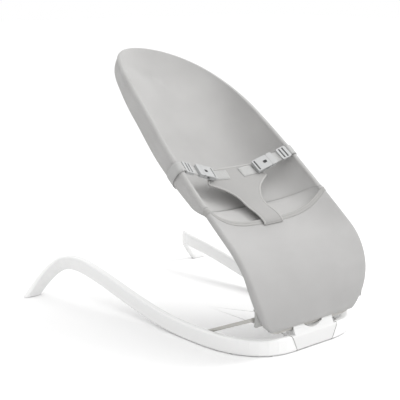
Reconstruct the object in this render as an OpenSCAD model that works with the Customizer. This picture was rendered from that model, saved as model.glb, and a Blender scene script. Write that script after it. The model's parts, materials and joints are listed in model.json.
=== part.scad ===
// Baby bouncer seat: a white sprung base, a wire seat frame that tilts on the
// front hub, a folding stand and a fabric seat with a three point harness.
// +X is the sitter's left, +Y points to the head end, +Z is up.

/* [Base] */
// Width over the outer faces of the side legs
base_w = 352; // [340:1:380]
// Width over the toes of the rear feet
toe_w = 546; // [530:1:580]
// Distance from the front face to where the legs turn out
turn_y = 550; // [530:1:570]
// Length of the base from the front face to the back of the toes
base_l = 660; // [650:1:680]
// Length of the rounded front corners
corner_l = 172; // [160:1:185]
// Height of the leg
leg_h = 33; // [30:0.5:36]
// Thickness of the leg
leg_t = 17; // [15:0.5:20]
// Height of the leg's top edge at the rear hump
hump_z = 95; // [85:1:105]
// Height of the leg's section at the toe
toe_h = 30; // [26:1:34]
// Thickness of the leg at the toe
toe_t = 16; // [14:0.5:18]
// Space between the floor and the legs
pad_gap = 1; // [0.6:0.1:1.6]
// Diameter of the anti-slip pads
pad_d = 11; // [8:0.5:12]
// Thickness of the anti-slip pads
pad_t = 3; // [2:0.5:4]

/* [Hub] */
// Width of the hub at its bottom edge
hub_low_w = 100; // [92:1:106]
// Width of the hub at its top edge
hub_top_w = 132; // [124:1:140]
// Depth of the hub
hub_d = 28; // [26:1:34]
// Height of the saddle between the ears
saddle_z = 40; // [37:0.5:42]
// Outer radius of the ears
ear_r = 9; // [8.6:0.1:9.6]
// Distance from the middle to an ear's inner face
ear_in = 25; // [20:1:28]
// Distance from the middle to an ear's outer face
ear_out = 56; // [50:1:58]
// Outer diameter of the pivot bushes
bush_d = 11; // [10.4:0.2:11.6]
// Wall of the hub shells
hub_wall = 4; // [3:0.2:5]
// Diameter of the screws
screw_d = 4; // [3:0.5:5]

/* [Seat frame] */
// Diameter of the frame wire
wire_d = 8; // [7:0.5:8.4]
// Distance from the front face to the pivot
pivot_y = 15.2; // [14.6:0.2:17]
// Height of the pivot
pivot_z = 46.6; // [45:0.2:50]
// Lean of the frame at the pivot, from the floor
lean_foot = 106.5; // [105.5:0.2:108]
// Lean of the frame above the knee
lean_seat = 38.7; // [37:0.3:41]
// Lean of the frame at the head
lean_head = 15.6; // [13:0.3:18]
// Radius of the knee bend
knee_r = 158; // [153:1:163]
// Length of the straight run above the knee
seat_run = 331; // [324:1:338]
// Length of the bend from the straight run to the head
head_run = 297; // [290:1:304]
// Straight run of the bottom wire
bottom_run = 184; // [176:1:190]
// Widest distance between the side wires
frame_w = 331; // [326:1:335]

/* [Stand] */
// Diameter of the stand wire
stand_d = 7.5; // [6.5:0.5:8]
// Distance from the front face to the stand's pivot
stand_y = 168; // [164:1:174]
// Height of the stand's pivot
stand_z = 18; // [17:0.5:20]
// Distance from the front face to the crossbar
bar_y = 27; // [26:0.5:29]
// Height of the crossbar
bar_z = 81; // [79:0.5:83]
// Outer diameter of the stand's sockets
socket_d = 13; // [12:0.5:14]

/* [Fabric] */
// Thickness of the seat fabric
cloth_t = 2.4; // [2:0.1:2.6]
// Depth of the back sling below the frame
sling_depth = 78; // [70:1:80]
// Depth of the sling where it meets the seat pocket
fold_depth = 54; // [50:1:58]
// Depth of the front panel's rim below the frame
rim_depth = 31; // [28:1:32]
// Diameter of the piping along the rim
piping_d = 6; // [4:0.5:6]
// Half width of the crotch piece at its neck
neck_half = 25; // [22:1:28]

/* [Harness] */
// Width of the webbing
web_w = 25; // [22:1:26]
// Thickness of the webbing
web_t = 1.2; // [1:0.1:1.4]
// Distance along the frame from the pivot to the side loops
loop_s = 398; // [394:1:402]
// Length of a buckle housing
housing_l = 38; // [36:1:39]
// Width of the buckles and adjusters
buckle_w = 30; // [29:0.5:32]
// Travel of a buckle insert when it is pulled out
pull_out = 14; // [13:0.5:14]

/* [Hidden] */
$fn = 48;

running = 0.05;     // radial clearance of a turning pin
snug = 0.02;        // radial clearance of a fixed pin
ease = 0.3;         // gap between soft pieces and their neighbours
over = 1;           // how far a cut runs past a face
shell_white = [0.96, 0.96, 0.95];
wire_grey = [0.74, 0.72, 0.69];
plastic_grey = [0.55, 0.55, 0.54];
cloth_grey = [0.78, 0.78, 0.77];
web_grey = [0.70, 0.70, 0.69];
pad_grey = [0.80, 0.80, 0.79];

// ---------------------------------------------------------------- helpers
function unit(v) = v / norm(v);
function last(v) = v[len(v) - 1];
function reversed(v) = [for (i = [len(v) - 1:-1:0]) v[i]];
function flat(v) = [for (row = v) for (p = row) p];
function mix(a, b, t) = a + (b - a) * t;
function smooth(t) = let (c = min(1, max(0, t))) c * c * (3 - 2 * c);
function tangent(path, i) =
    unit(path[min(i + 1, len(path) - 1)] - path[max(i - 1, 0)]);

// A solid through closed rings of points, all of the same number
module skin(rings) {
    k = len(rings);
    m = len(rings[0]);
    sides = [for (i = [0:k - 2]) for (j = [0:m - 1])
        [i * m + j, i * m + (j + 1) % m, (i + 1) * m + (j + 1) % m, (i + 1) * m + j]];
    caps = [[for (j = [m - 1:-1:0]) j], [for (j = [0:m - 1]) (k - 1) * m + j]];
    polyhedron(flat(rings), concat(sides, caps), convexity = 8);
}

// A flat outline [right, up] carried along a path with one up vector a point
function carried(path, ups, outline) = [for (i = [0:len(path) - 1])
    let (t = tangent(path, i), right = unit(cross(t, ups[i])), up = cross(right, t))
    [for (q = outline) path[i] + q[0] * right + q[1] * up]];
function disc(r, sides) =
    [for (j = [0:sides - 1]) r * [cos(360 * j / sides), sin(360 * j / sides)]];
module tube(path, ups, r, sides = 12) {
    skin(carried(path, ups, disc(r, sides)));
}

// A path through corner points, each inner corner rounded over a distance d
function rounded(points, d, steps = 5) = concat([points[0]],
    [for (i = [1:len(points) - 2]) each
        let (b = points[i],
             a = b + d * unit(points[i - 1] - b),
             c = b + d * unit(points[i + 1] - b))
        [for (k = [0:steps]) let (t = k / steps)
            (1 - t) * (1 - t) * a + 2 * t * (1 - t) * b + t * t * c]],
    [last(points)]);

// A box with rounded corners, r1 on the right and r2 on the left
function corner(x, y, r, from, steps) = [for (k = [0:steps])
    let (a = from + 90 * k / steps) [x + r * cos(a), y + r * sin(a)]];
function slab(w, h, r1, r2, steps = 3) = concat(
    corner(w / 2 - r1, r1 - h / 2, r1, -90, steps),
    corner(w / 2 - r1, h / 2 - r1, r1, 0, steps),
    corner(r2 - w / 2, h / 2 - r2, r2, 90, steps),
    corner(r2 - w / 2, r2 - h / 2, r2, 180, steps));

// A sheet of cloth between two grids of points of the same size
module sheet(top, bottom) {
    cols = len(top[0]);
    base = len(top) * cols;
    function at(i, j) = i * cols + j;
    cells = [for (i = [0:len(top) - 2]) for (j = [0:cols - 2]) each
        [[at(i, j), at(i + 1, j), at(i + 1, j + 1)],
         [at(i, j), at(i + 1, j + 1), at(i, j + 1)]]];
    under = [for (f = cells) [base + f[2], base + f[1], base + f[0]]];
    edge = concat([for (j = [0:cols - 2]) at(0, j)],
                  [for (i = [0:len(top) - 2]) at(i, cols - 1)],
                  [for (j = [cols - 1:-1:1]) at(len(top) - 1, j)],
                  [for (i = [len(top) - 1:-1:1]) at(i, 0)]);
    n = len(edge);
    walls = [for (k = [0:n - 1]) let (a = edge[k], b = edge[(k + 1) % n]) each
        [[a, b, base + b], [a, base + b, base + a]]];
    polyhedron(concat(flat(top), flat(bottom)), concat(cells, under, walls),
               convexity = 8);
}

// The origin is on the floor below the middle of the part
module placed() {
    translate([0, -base_l / 2, 0]) children();
}
module on_side(side) {
    placed() mirror([side < 0 ? 1 : 0, 0, 0]) children();
}

// ------------------------------------------------------- seat frame curve
wire_r = wire_d / 2;
knee_run = knee_r * (lean_foot - lean_seat) * PI / 180;
frame_run = knee_run + seat_run + head_run;

// Point and lean at s on an arc that turns from lean a to lean b over run
function arc_at(p, a, b, run, s) =
    let (k = (b - a) * PI / 180 / run, th = a + (b - a) * s / run)
    [p + [sin(th) - sin(a), cos(a) - cos(th)] / k, th];
foot_p = [pivot_y, pivot_z];
knee_p = arc_at(foot_p, lean_foot, lean_seat, knee_run, knee_run)[0];
seat_way = [cos(lean_seat), sin(lean_seat)];
back_p = knee_p + seat_run * seat_way;
function profile(s) =
    s < knee_run ? arc_at(foot_p, lean_foot, lean_seat, knee_run, s)
    : s < knee_run + seat_run ? [knee_p + (s - knee_run) * seat_way, lean_seat]
    : arc_at(back_p, lean_seat, lean_head, head_run, s - knee_run - seat_run);

// Half width of the frame at s, and of its outline set out by d
wide_s = 170;
foot_pow = 1.9;
head_pow = 2.7;
function half_w(s) = outline(s, 0);
function outline(s, d) = s < wide_s
    ? mix(bottom_run, frame_w, sqrt(1 - pow((wide_s - s) / wide_s, foot_pow))) / 2 + d
    : (frame_w / 2 + d)
        * sqrt(max(0, 1 - pow((s - wide_s) / (frame_run + d - wide_s), head_pow)));

// Direction out of the seat, and the point at s, across x and raised by n
function out_of(s) = let (th = profile(s)[1]) [0, -sin(th), cos(th)];
function on_seat(s, x, n = 0) =
    let (p = profile(s)[0]) [x, p[0], p[1]] + n * out_of(s);
function wire_path(list, side) = [for (s = list) on_seat(s, side * half_w(s))];
function outs(list) = [for (s = list) out_of(s)];

// Rings of the wires stand closer where the outline bends
split_s = 262;
ring_pow = 1.9;
lower_s = [for (i = [0:15]) split_s * pow(i / 15, ring_pow)];
upper_s = [for (i = [0:19]) mix(frame_run, split_s, pow(1 - i / 20, ring_pow))];

module lower_wire() {
    color(wire_grey) placed() {
        translate([-bottom_run / 2, pivot_y, pivot_z])
            rotate([0, 90, 0]) cylinder(d = wire_d, h = bottom_run);
        for (side = [-1, 1])
            tube(concat([[side * (bottom_run / 2 - over), pivot_y, pivot_z]],
                        wire_path(lower_s, side)),
                 concat([out_of(0)], outs(lower_s)), wire_r - snug);
    }
}

module upper_hoop() {
    color(wire_grey) placed()
        tube(concat(wire_path(upper_s, 1), [on_seat(frame_run, 0)],
                    reversed(wire_path(upper_s, -1))),
             concat(outs(upper_s), [out_of(frame_run)], reversed(outs(upper_s))),
             wire_r);
}

sleeve_wall = 1.2;
sleeve_run = 40;
module frame_sleeve(side) {
    list = [for (i = [0:4]) split_s + sleeve_run * (i / 4 - 0.5)];
    bore = [for (i = [-1:5]) split_s + sleeve_run * (i / 4 - 0.5)];
    color(plastic_grey) placed() difference() {
        tube(wire_path(list, side), outs(list), wire_r + sleeve_wall, 16);
        tube(wire_path(bore, side), outs(bore), wire_r + snug + sleeve_wall / 8, 16);
    }
}

// ------------------------------------------------------------------- legs
leg_mid_x = (base_w - leg_t) / 2;
toe_mid_y = base_l - toe_t / 2;
toe_slope = 1.1;
toe_inset = 18;
toe_x = toe_w / 2 - toe_inset;
leg_start = 40;
corner_bend = 0.8;
flare_bend = 0.83;
rise_from = 200;
rise_to = 640;
flat_z = pad_gap + leg_h / 2;
hump_mid_z = hump_z - leg_h / 2;

// Height of the leg's middle: a smooth rise, then a slope down to the toe
function rise(y) = flat_z + (hump_mid_z - flat_z)
    * (1 - cos(180 * min(1, max(0, (y - rise_from) / (rise_to - rise_from))))) / 2;
brow_r = 10;
function fall(x) = let (d = x - toe_x + hump_mid_z / toe_slope)
    toe_slope / 2 * (d + sqrt(d * d + brow_r * brow_r));
function leg_point(x, y, out) = [x, y, rise(y) - (out ? fall(x) - fall(leg_mid_x) : 0)];

function corner_mid(a) = [
    hub_low_w / 2 + (leg_mid_x - hub_low_w / 2) * pow(sin(a), corner_bend),
    corner_l - (corner_l - leg_t / 2) * pow(cos(a), corner_bend)];

// Middle of the leg from the hub to past the floor, with the share of the
// way to the toe's section
leg_line = concat(
    [[[leg_start, leg_t / 2, flat_z], 0]],
    [for (a = [3, 9, 17, 26, 35, 44, 53, 62, 71, 80, 87])
        [leg_point(corner_mid(a)[0], corner_mid(a)[1], false), 0]],
    [for (i = [0:12]) [leg_point(leg_mid_x, mix(corner_l, turn_y, i / 12), false), 0]],
    [for (a = [5, 12, 20, 28, 36, 44, 52, 60, 68, 75, 81, 86])
        [leg_point(toe_x - (toe_x - leg_mid_x) * pow(cos(a), flare_bend),
                   turn_y + (toe_mid_y - turn_y) * pow(sin(a), flare_bend),
                   true), smooth(a / 75)]],
    [for (d = [0, 30]) [leg_point(toe_x + d, toe_mid_y, true), 1]]);

leg_round = 4;
leg_inner_round = 7;
toe_round = 6;
function leg_ring(i, path) =
    let (t = tangent(path, i),
         side = unit([t[1], -t[0], 0]),
         up = cross(side, t),
         k = leg_line[i][1],
         outline = slab(mix(leg_t, toe_t, k), mix(leg_h, toe_h, k),
                        mix(leg_round, toe_round, k),
                        mix(leg_inner_round, toe_round, k)))
    [for (q = outline) path[i] + q[0] * side + q[1] * up];

module hub_front_outline(gap = 0) {
    polygon([[-hub_low_w / 2 - gap, 0], [hub_low_w / 2 + gap, 0],
             [hub_top_w / 2 + gap, flat_z * 2], [-hub_top_w / 2 - gap, flat_z * 2]]);
}

joint_gap = 0.3;
tenon_in = 38;
tenon_y = 5;
tenon_t = 10;
tenon_z = 7;
tenon_h = 20;
leg_screw_x = 45;
socket_in = 12;
socket_x = base_w / 2 - leg_t;
pad_angles = [24, 60];
toe_pad_x = 26;

module toe_pad(r, h) {
    translate([toe_x - toe_pad_x / 2, toe_mid_y, 0]) cylinder(r = r, h = h);
    translate([toe_x + toe_pad_x / 2, toe_mid_y, 0]) cylinder(r = r, h = h);
    translate([toe_x - toe_pad_x / 2, toe_mid_y - r, 0]) cube([toe_pad_x, 2 * r, h]);
}

module leg() {
    path = [for (q = leg_line) q[0]];
    difference() {
        union() {
            difference() {
                skin([for (i = [0:len(path) - 1]) leg_ring(i, path)]);
                translate([0, hub_d + over, 0]) rotate([90, 0, 0])
                    linear_extrude(hub_d + 2 * over) hub_front_outline(joint_gap);
            }
            translate([tenon_in, tenon_y, tenon_z])
                cube([hub_top_w / 2 - tenon_in, tenon_t, tenon_h]);
        }
        translate([0, 0, pad_gap - hump_z]) cube([toe_w, 2 * base_l, hump_z]);
        translate([leg_screw_x, tenon_y + over, tenon_z + tenon_h / 2])
            rotate([-90, 0, 0]) cylinder(d = screw_d + 2 * snug, h = tenon_t);
        translate([socket_x - over, stand_y, stand_z]) rotate([0, 90, 0])
            cylinder(d = socket_d + 2 * snug, h = socket_in + over);
        for (a = pad_angles)
            translate([corner_mid(a)[0], corner_mid(a)[1], -over])
                cylinder(d = pad_d + 2 * snug, h = pad_t + over);
        translate([0, 0, -over]) toe_pad(pad_d / 2 + snug, pad_t + over);
    }
}
module left_leg() { color(shell_white) on_side(1) leg(); }
module right_leg() { color(shell_white) on_side(-1) leg(); }

module front_pads() {
    color(pad_grey) for (side = [-1, 1]) on_side(side) for (a = pad_angles)
        translate([corner_mid(a)[0], corner_mid(a)[1], 0]) cylinder(d = pad_d, h = pad_t);
}
module rear_pads() {
    color(pad_grey) for (side = [-1, 1]) on_side(side) toe_pad(pad_d / 2, pad_t);
}

module stand_socket() {
    translate([socket_x, stand_y, stand_z]) rotate([0, 90, 0]) difference() {
        cylinder(d = socket_d, h = socket_in);
        translate([0, 0, -over])
            cylinder(d = stand_d + 2 * running, h = socket_in + 2 * over);
    }
}
module left_stand_socket() { color(plastic_grey) on_side(1) stand_socket(); }
module right_stand_socket() { color(plastic_grey) on_side(-1) stand_socket(); }

// -------------------------------------------------------------------- hub
ear_slope = 31;
hub_round = 3;
cavity_x = 34;
pocket_d = 14;
pocket_in = 3;
hub_screw_x = 14;
hub_screw_z = 20;
boss_d = 10;
head_d = 8;
head_t = 3;
screw_tip_y = 6;

// The hub's side view: a block whose front leans back up to the ears
module hub_side_outline() {
    translate([pivot_y, pivot_z]) circle(r = ear_r);
    polygon([[hub_round, pad_gap], [hub_d - hub_round, pad_gap], [hub_d, pad_gap + hub_round],
             [hub_d, ear_slope], [pivot_y + ear_r, pivot_z], [pivot_y - ear_r, pivot_z],
             [0, ear_slope], [0, pad_gap + hub_round]]);
}

// The hub's front view: ears either side of a hollow saddle
module hub_top_outline() {
    saddle_r = ear_in * 1.6;
    difference() {
        union() {
            hub_front_outline();
            for (side = [-1, 1]) mirror([side < 0 ? 1 : 0, 0])
                translate([0, flat_z]) square([ear_out, pivot_z + ear_r]);
        }
        translate([-ear_in, pivot_z]) square([2 * ear_in, pivot_z]);
        translate([0, saddle_z + saddle_r]) circle(r = saddle_r);
        for (side = [-1, 1]) mirror([side < 0 ? 1 : 0, 0])
            translate([ear_out, 2 * flat_z - pad_gap]) square([hub_top_w, pivot_z]);
    }
}

module hub_block() {
    intersection() {
        translate([0, hub_d, 0]) rotate([90, 0, 0]) linear_extrude(hub_d)
            hub_top_outline();
        translate([-hub_top_w / 2, 0, 0]) rotate([90, 0, 90])
            linear_extrude(hub_top_w) hub_side_outline();
    }
}

// Everything that is cut out of the hub: pivot, pockets, cavity and tenons
module hub_cuts() {
    translate([-hub_top_w / 2, pivot_y, pivot_z]) rotate([0, 90, 0])
        cylinder(d = bush_d + 2 * snug, h = hub_top_w);
    for (x = [-ear_out - over, -ear_in - pocket_in, ear_in - over, ear_out - pocket_in])
        translate([x, pivot_y, pivot_z]) rotate([0, 90, 0])
            cylinder(d = pocket_d, h = pocket_in + over);
    translate([-cavity_x, hub_wall, pad_gap + hub_wall])
        cube([2 * cavity_x, hub_d - 2 * hub_wall, ear_slope - pad_gap - 2 * hub_wall]);
    for (side = [-1, 1]) mirror([side < 0 ? 1 : 0, 0, 0])
        translate([tenon_in - joint_gap, tenon_y - joint_gap, tenon_z - joint_gap])
            cube([hub_top_w, tenon_t, tenon_h] + 2 * joint_gap * [0, 1, 1]);
}
module hub_bosses() {
    for (side = [-1, 1]) translate([side * hub_screw_x, over, hub_screw_z])
        rotate([-90, 0, 0]) cylinder(d = boss_d, h = hub_d - 2 * over);
}
module at_screws(x, z) {
    for (side = [-1, 1]) translate([side * x, screw_tip_y, z]) rotate([-90, 0, 0])
        children();
}
module screw_holes() {
    for (q = [[hub_screw_x, hub_screw_z], [leg_screw_x, tenon_z + tenon_h / 2]])
        at_screws(q[0], q[1]) {
            translate([0, 0, -over]) cylinder(d = screw_d + 2 * snug, h = hub_d);
            translate([0, 0, hub_d - screw_tip_y - head_t])
                cylinder(d = head_d + 2 * snug, h = head_t + over);
        }
}
module hub_shell(front) {
    depth = front ? pivot_y : hub_d - pivot_y;
    difference() {
        intersection() {
            union() {
                difference() {
                    hub_block();
                    hub_cuts();
                }
                hub_bosses();
            }
            translate([-hub_top_w, front ? 0 : pivot_y, 0])
                cube([2 * hub_top_w, depth, pivot_z + 2 * ear_r]);
        }
        screw_holes();
    }
}
module hub_front_shell() { color(shell_white) placed() hub_shell(true); }
module hub_rear_shell() { color(shell_white) placed() hub_shell(false); }

module pivot_bush() {
    translate([ear_in + pocket_in, pivot_y, pivot_z]) rotate([0, 90, 0]) difference() {
        cylinder(d = bush_d, h = ear_out - ear_in - 2 * pocket_in);
        translate([0, 0, -over]) cylinder(d = wire_d + 2 * running, h = ear_out);
    }
}
module left_pivot_bush() { color(plastic_grey) on_side(1) pivot_bush(); }
module right_pivot_bush() { color(plastic_grey) on_side(-1) pivot_bush(); }

module screws(x, z) {
    at_screws(x, z) {
        cylinder(d = screw_d, h = hub_d - screw_tip_y - over);
        translate([0, 0, hub_d - screw_tip_y - head_t]) difference() {
            cylinder(d = head_d, h = head_t - over);
            translate([0, 0, head_t - 2 * over])
                cylinder(d = screw_d, h = 2 * over, $fn = 6);
        }
    }
}
module hub_screws() { color(wire_grey) placed() screws(hub_screw_x, hub_screw_z); }
module leg_screws() {
    color(wire_grey) placed() screws(leg_screw_x, tenon_z + tenon_h / 2);
}

// ------------------------------------------------------------------ stand
stand_r = stand_d / 2;
arm_gap = 0.8;
stand_bend = 5.4;
bar_short = 6;
arm_x = socket_x - arm_gap - stand_r;
bar_end = arm_x - bar_short;
stub_from = arm_x + stand_bend + 0.1;
stub_to = socket_x + socket_in - over;
stand_up = [0.2, 0.4, 0.9];
module recline_stand() {
    corners = [[stub_from + over, stand_y, stand_z], [arm_x, stand_y, stand_z],
               [arm_x, bar_y, bar_z], [bar_end - over, bar_y, bar_z]];
    path = rounded(corners, stand_bend);
    color(wire_grey) placed() {
        translate([-bar_end, bar_y, bar_z]) rotate([0, 90, 0])
            cylinder(d = stand_d, h = 2 * bar_end);
        for (side = [-1, 1]) mirror([side < 0 ? 1 : 0, 0, 0]) {
            translate([stub_from, stand_y, stand_z]) rotate([0, 90, 0])
                cylinder(d = stand_d, h = stub_to - stub_from);
            tube(path, [for (p = path) stand_up], stand_r - snug);
        }
    }
}

// ------------------------------------------------------------------ racks
hook_gap = 0.7;
hook_wall = 2.4;
rack_mid = 60;
rack_inset = 11.13;
hook_in = half_w(rack_mid) - rack_inset;
hook_w = 12;
rack_w = 18;
rack_from = 24;
rack_to = 96;
rack_top = -3;
rack_deep = -8;
clip_wall = 2.4;
clip_gap = 0.15;
clip_open = 1.5;
rivet_d = 4;
rivet_head = 1;
head_gap = 0.15;
rivets = [[46, hook_in + 14], [74, hook_in + 4]];
upper_hooks = [[60, -12], [86, -12]];
brace = [[28, rack_deep + over], [40, rack_deep + over], [31, -14.5], [28.5, -15]];
open_from = -35;
open_to = 135;
function side_point(s, n) = let (q = on_seat(s, 0, n)) [q[1], q[2]];
module side_plate(w, from_n, to_n, steps = 8) {
    list = [for (i = [0:steps]) mix(rack_from - over, rack_to + over, i / steps)];
    rotate([90, 0, 90]) linear_extrude(w)
        polygon(concat([for (s = list) side_point(s, from_n)],
                       reversed([for (s = list) side_point(s, to_n)])));
}

module hook_outline(c) {
    inner = stand_r + hook_gap;
    translate(c) difference() {
        circle(r = inner + hook_wall);
        circle(r = inner);
        polygon(concat([[0, 0]], [for (a = [open_from:17:open_to])
            3 * inner * [cos(a), sin(a)]]));
    }
}

module at_rivet(q) {
    translate(on_seat(q[0], q[1], rack_deep)) rotate([profile(q[0])[1], 0, 0]) children();
}
module rack() {
    list = [for (i = [0:8]) mix(rack_from, rack_to, i / 8)];
    bore = [for (i = [-1:9]) mix(rack_from, rack_to, i / 8)];
    spots = concat([[bar_y, bar_z]], [for (q = upper_hooks) side_point(q[0], q[1])]);
    difference() {
        union() {
            translate([hook_in, 0, 0]) side_plate(rack_w, rack_top, rack_deep);
            translate([hook_in, 0, 0]) rotate([90, 0, 90]) linear_extrude(hook_w) {
                for (c = spots) hook_outline(c);
                polygon([for (q = brace) side_point(q[0], q[1])]);
            }
            tube(wire_path(list, 1), outs(list), wire_r + clip_wall, 16);
        }
        tube(wire_path(bore, 1), outs(bore), wire_r + clip_gap, 16);
        translate([hook_in - rack_w, 0, 0]) side_plate(3 * rack_w, clip_open, 2 * wire_d);
        for (q = rivets) at_rivet(q) translate([0, 0, -over])
            cylinder(d = rivet_d + 2 * snug, h = wire_d);
    }
}
module left_rack() { color(plastic_grey) on_side(1) rack(); }
module right_rack() { color(plastic_grey) on_side(-1) rack(); }
module rack_rivets() {
    color(wire_grey) for (side = [-1, 1]) on_side(side) for (q = rivets) at_rivet(q) {
        translate([0, 0, -rivet_head - head_gap])
            cylinder(d = 1.6 * rivet_d, h = rivet_head);
        translate([0, 0, -rivet_head])
            cylinder(d = rivet_d, h = rack_top - rack_deep + rivet_head);
    }
}

// ----------------------------------------------------------------- fabric
edge_over = 5;
lay_n = wire_r + sleeve_wall + ease;
hem_n = ear_r + ease;
hem_s = 3;
hem_blend = 30;
hem_corner = 14;
rim_s = 248;
rim_side_s = 285;
rim_pow = 3.3;
rim_bend = 3.5;
rim_start = 90;
piping_r = piping_d / 2;
fold_s = 316;
fold_side_s = 290;
fold_rise = 0.6;
pocket_s = 236;
pocket_side_n = -3;
pocket_inset = 6.2;
pocket_bend = 4;
wall_pow = 4.5;
deepen = 160;
deepen_pow = 1.8;
head_wall = 10;
head_full_s = 500;
head_bend = 2;
head_from = frame_run - head_wall;
head_over = 3;

// Half width of the fabric, a little outside the wires, and of its hollow
function cloth_half(s) =
    outline(s, edge_over) - hem_corner * pow(max(0, 1 - s / hem_corner), 2);
function hollow_half(s, inset) = min(cloth_half(s) - 2 * over,
    max(outline(s, -inset), cloth_half(s) * 0.6));
function hollow(v, bend) = 1 - pow(min(1, abs(v)), bend);
function bowl(v, bend) = pow(hollow(v, bend), 1 / bend);

// The front panel: v is 1 at its hollow's edge and 2 at the fabric's edge
half_across = [0.17, 0.34, 0.5, 0.65, 0.78, 0.87, 0.93, 0.97, 1, 2];
across = concat([for (v = reversed(half_across)) -v], [0], half_across);
function x_at(s, v) =
    abs(v) > 1 ? sign(v) * cloth_half(s) : v * hollow_half(s, wire_r - over);
function rim_at(v) =
    mix(rim_s, rim_side_s, pow(abs(x_at(rim_s, v)) / cloth_half(rim_s), rim_pow));
function panel_n(s, v) = mix(hem_n, lay_n, smooth(s / hem_blend))
    - rim_depth * smooth((s - rim_start) / (rim_s - rim_start)) * hollow(v, rim_bend);
module front_panel() {
    function grid(n) = [for (i = [0:16]) [for (v = across)
        let (s = mix(hem_s, rim_at(v) - 1.2 * piping_r - ease, i / 16))
        on_seat(s, x_at(s, v), panel_n(s, v) + n)]];
    color(cloth_grey) placed() sheet(grid(cloth_t), grid(0));
}
module rim_piping() {
    path = [for (v = across) let (s = rim_at(v))
        on_seat(s, x_at(s, v), panel_n(s, v) + piping_r)];
    color(cloth_grey) placed()
        tube(path, [for (p = path) out_of(rim_s)], piping_r, 10);
}

// The sling: a trough with steep walls inside the wires and a flange over
// them; column 10 is the wall's top edge and column 11 the flange's edge
wall_turns = [80, 70, 58, 45, 32, 20, 10, 4, 0];
wall_v = concat([0, 0.24], [for (a = wall_turns) pow(cos(a), 2 / wall_pow)]);
wall_cols = len(wall_v) - 1;
sling_rows = 22;
end_rows = [frame_run - wire_r, frame_run + head_over];
function column(j, even) = let (k = min(abs(j), wall_cols))
    sign(j) * mix(wall_v[k], k / wall_cols, even);
function fold_at(j) =
    mix(fold_side_s, fold_s, pow(bowl(column(j, 0), wall_pow), fold_rise));
function sling_row(i, j) = i > sling_rows ? end_rows[i - sling_rows - 1]
    : mix(head_from, fold_at(j), pow(1 - i / sling_rows, 1.3));
function sling_deep(s, inset) = hollow(
        max(0, s - head_full_s) / (head_from - inset - head_full_s), head_bend)
    * mix(sling_depth, fold_depth,
          pow(max(0, 1 - (s - fold_side_s) / deepen), deepen_pow));

// Point of the sling's outer face, or of its inner face with inset cloth_t
function sling_at(s, j, inset) =
    let (v = column(j, smooth((s - head_full_s) / (head_from - head_full_s))),
         wide = hollow_half(s, wire_r + ease + inset))
    on_seat(s, abs(j) > wall_cols ? sign(j) * cloth_half(s) : v * wide,
            lay_n + inset - sling_deep(s, inset) * bowl(v, wall_pow));
module back_sling() {
    function grid(inset) = [for (i = [0:sling_rows + len(end_rows)])
        [for (j = [-wall_cols - 1:wall_cols + 1])
            sling_at(sling_row(i, j), j, inset)]];
    color(cloth_grey) placed() sheet(grid(cloth_t), grid(0));
}

// The seat pocket runs from under the rim down to the sling's lower edge
pocket_deep = rim_depth + cloth_t + ease;
function pocket_at(s, j, inset) =
    let (t = (s - pocket_s) / (fold_s - pocket_s), v = column(j, 0),
         floor_n = lay_n - mix(pocket_deep, sling_deep(fold_s, 0), t),
         share = mix(hollow(v, pocket_bend), bowl(v, wall_pow), t))
    on_seat(s, v * (half_w(s) - pocket_inset - inset),
            mix(pocket_side_n, floor_n, share) + inset);
module seat_pocket() {
    function grid(inset) = [for (i = [0:6]) [for (j = [-wall_cols:wall_cols])
        pocket_at(mix(pocket_s, fold_at(j) - ease, i / 6), j, inset)]];
    color(cloth_grey) placed() sheet(grid(cloth_t), grid(0));
}

// ---------------------------------------------------------------- harness
inner_p = [389, 60, -26];
strap_inset = 10.4;
outer_p = [loop_s, half_w(loop_s) - strap_inset, 2.5];
strap_run = outer_p - inner_p;
strap_turn = atan2(strap_run[0], strap_run[1]);
strap_tilt = atan2(strap_run[2], norm([strap_run[0], strap_run[1]]));
strap_l = norm(strap_run);
crotch_gap = 2.9;
crotch_from = 238;
crotch_to = 404;
piping_s = 245;
rim_top = lay_n - rim_depth + 2 * cloth_t + ease;
over_piping = lay_n - rim_depth + piping_d + ease + cloth_t;
neck_n = -30;
neck_s = 282;
wing_s = 369;
wing_half = 84;
top_half = 58.5;

// Frame of a strap: X outward along it, Y up the seat, Z out of the seat
module on_strap(side) {
    on_side(side) translate(on_seat(inner_p[0], inner_p[1], inner_p[2]))
        rotate([profile(inner_p[0])[1], 0, 0]) rotate([0, -strap_tilt, strap_turn])
            children();
}

function crotch_half(s) = s < wing_s
    ? mix(neck_half, wing_half, pow(max(0, s - neck_s) / (wing_s - neck_s), 3))
    : mix(wing_half, top_half, (s - wing_s) / (crotch_to - wing_s));
function crotch_top(s) = s < piping_s + 2 * piping_r
    ? mix(rim_top, over_piping, smooth((s - crotch_from) / (piping_s - crotch_from)))
    : mix(mix(over_piping, neck_n, smooth((s - piping_s - 2 * piping_r) / 58)),
          inner_p[2] - crotch_gap, smooth((s - 340) / 40));
module crotch_piece() {
    function grid(n) = [for (i = [0:26])
        let (s = mix(crotch_from, crotch_to, pow(i / 26, 1.25)))
        [for (j = [-6:6]) on_seat(s, j / 6 * crotch_half(s), crotch_top(s) + n)]];
    color(cloth_grey) placed() sheet(grid(0), grid(-cloth_t));
}

tab_l = 42;
housing_from = 1;
housing_to = housing_from + housing_l;
buckle_low = -2.4;
buckle_high = 6.6;
prong_l = 13;
insert_l = 14.6;
insert_from = housing_to + 0.4;
insert_to = insert_from + insert_l;
adjuster_l = 24.8;
adjuster_wall = 3;
adjuster_from = strap_l - adjuster_l;
strap_to = strap_l - adjuster_wall - pull_out - ease;
slot_gap = 0.4;

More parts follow.
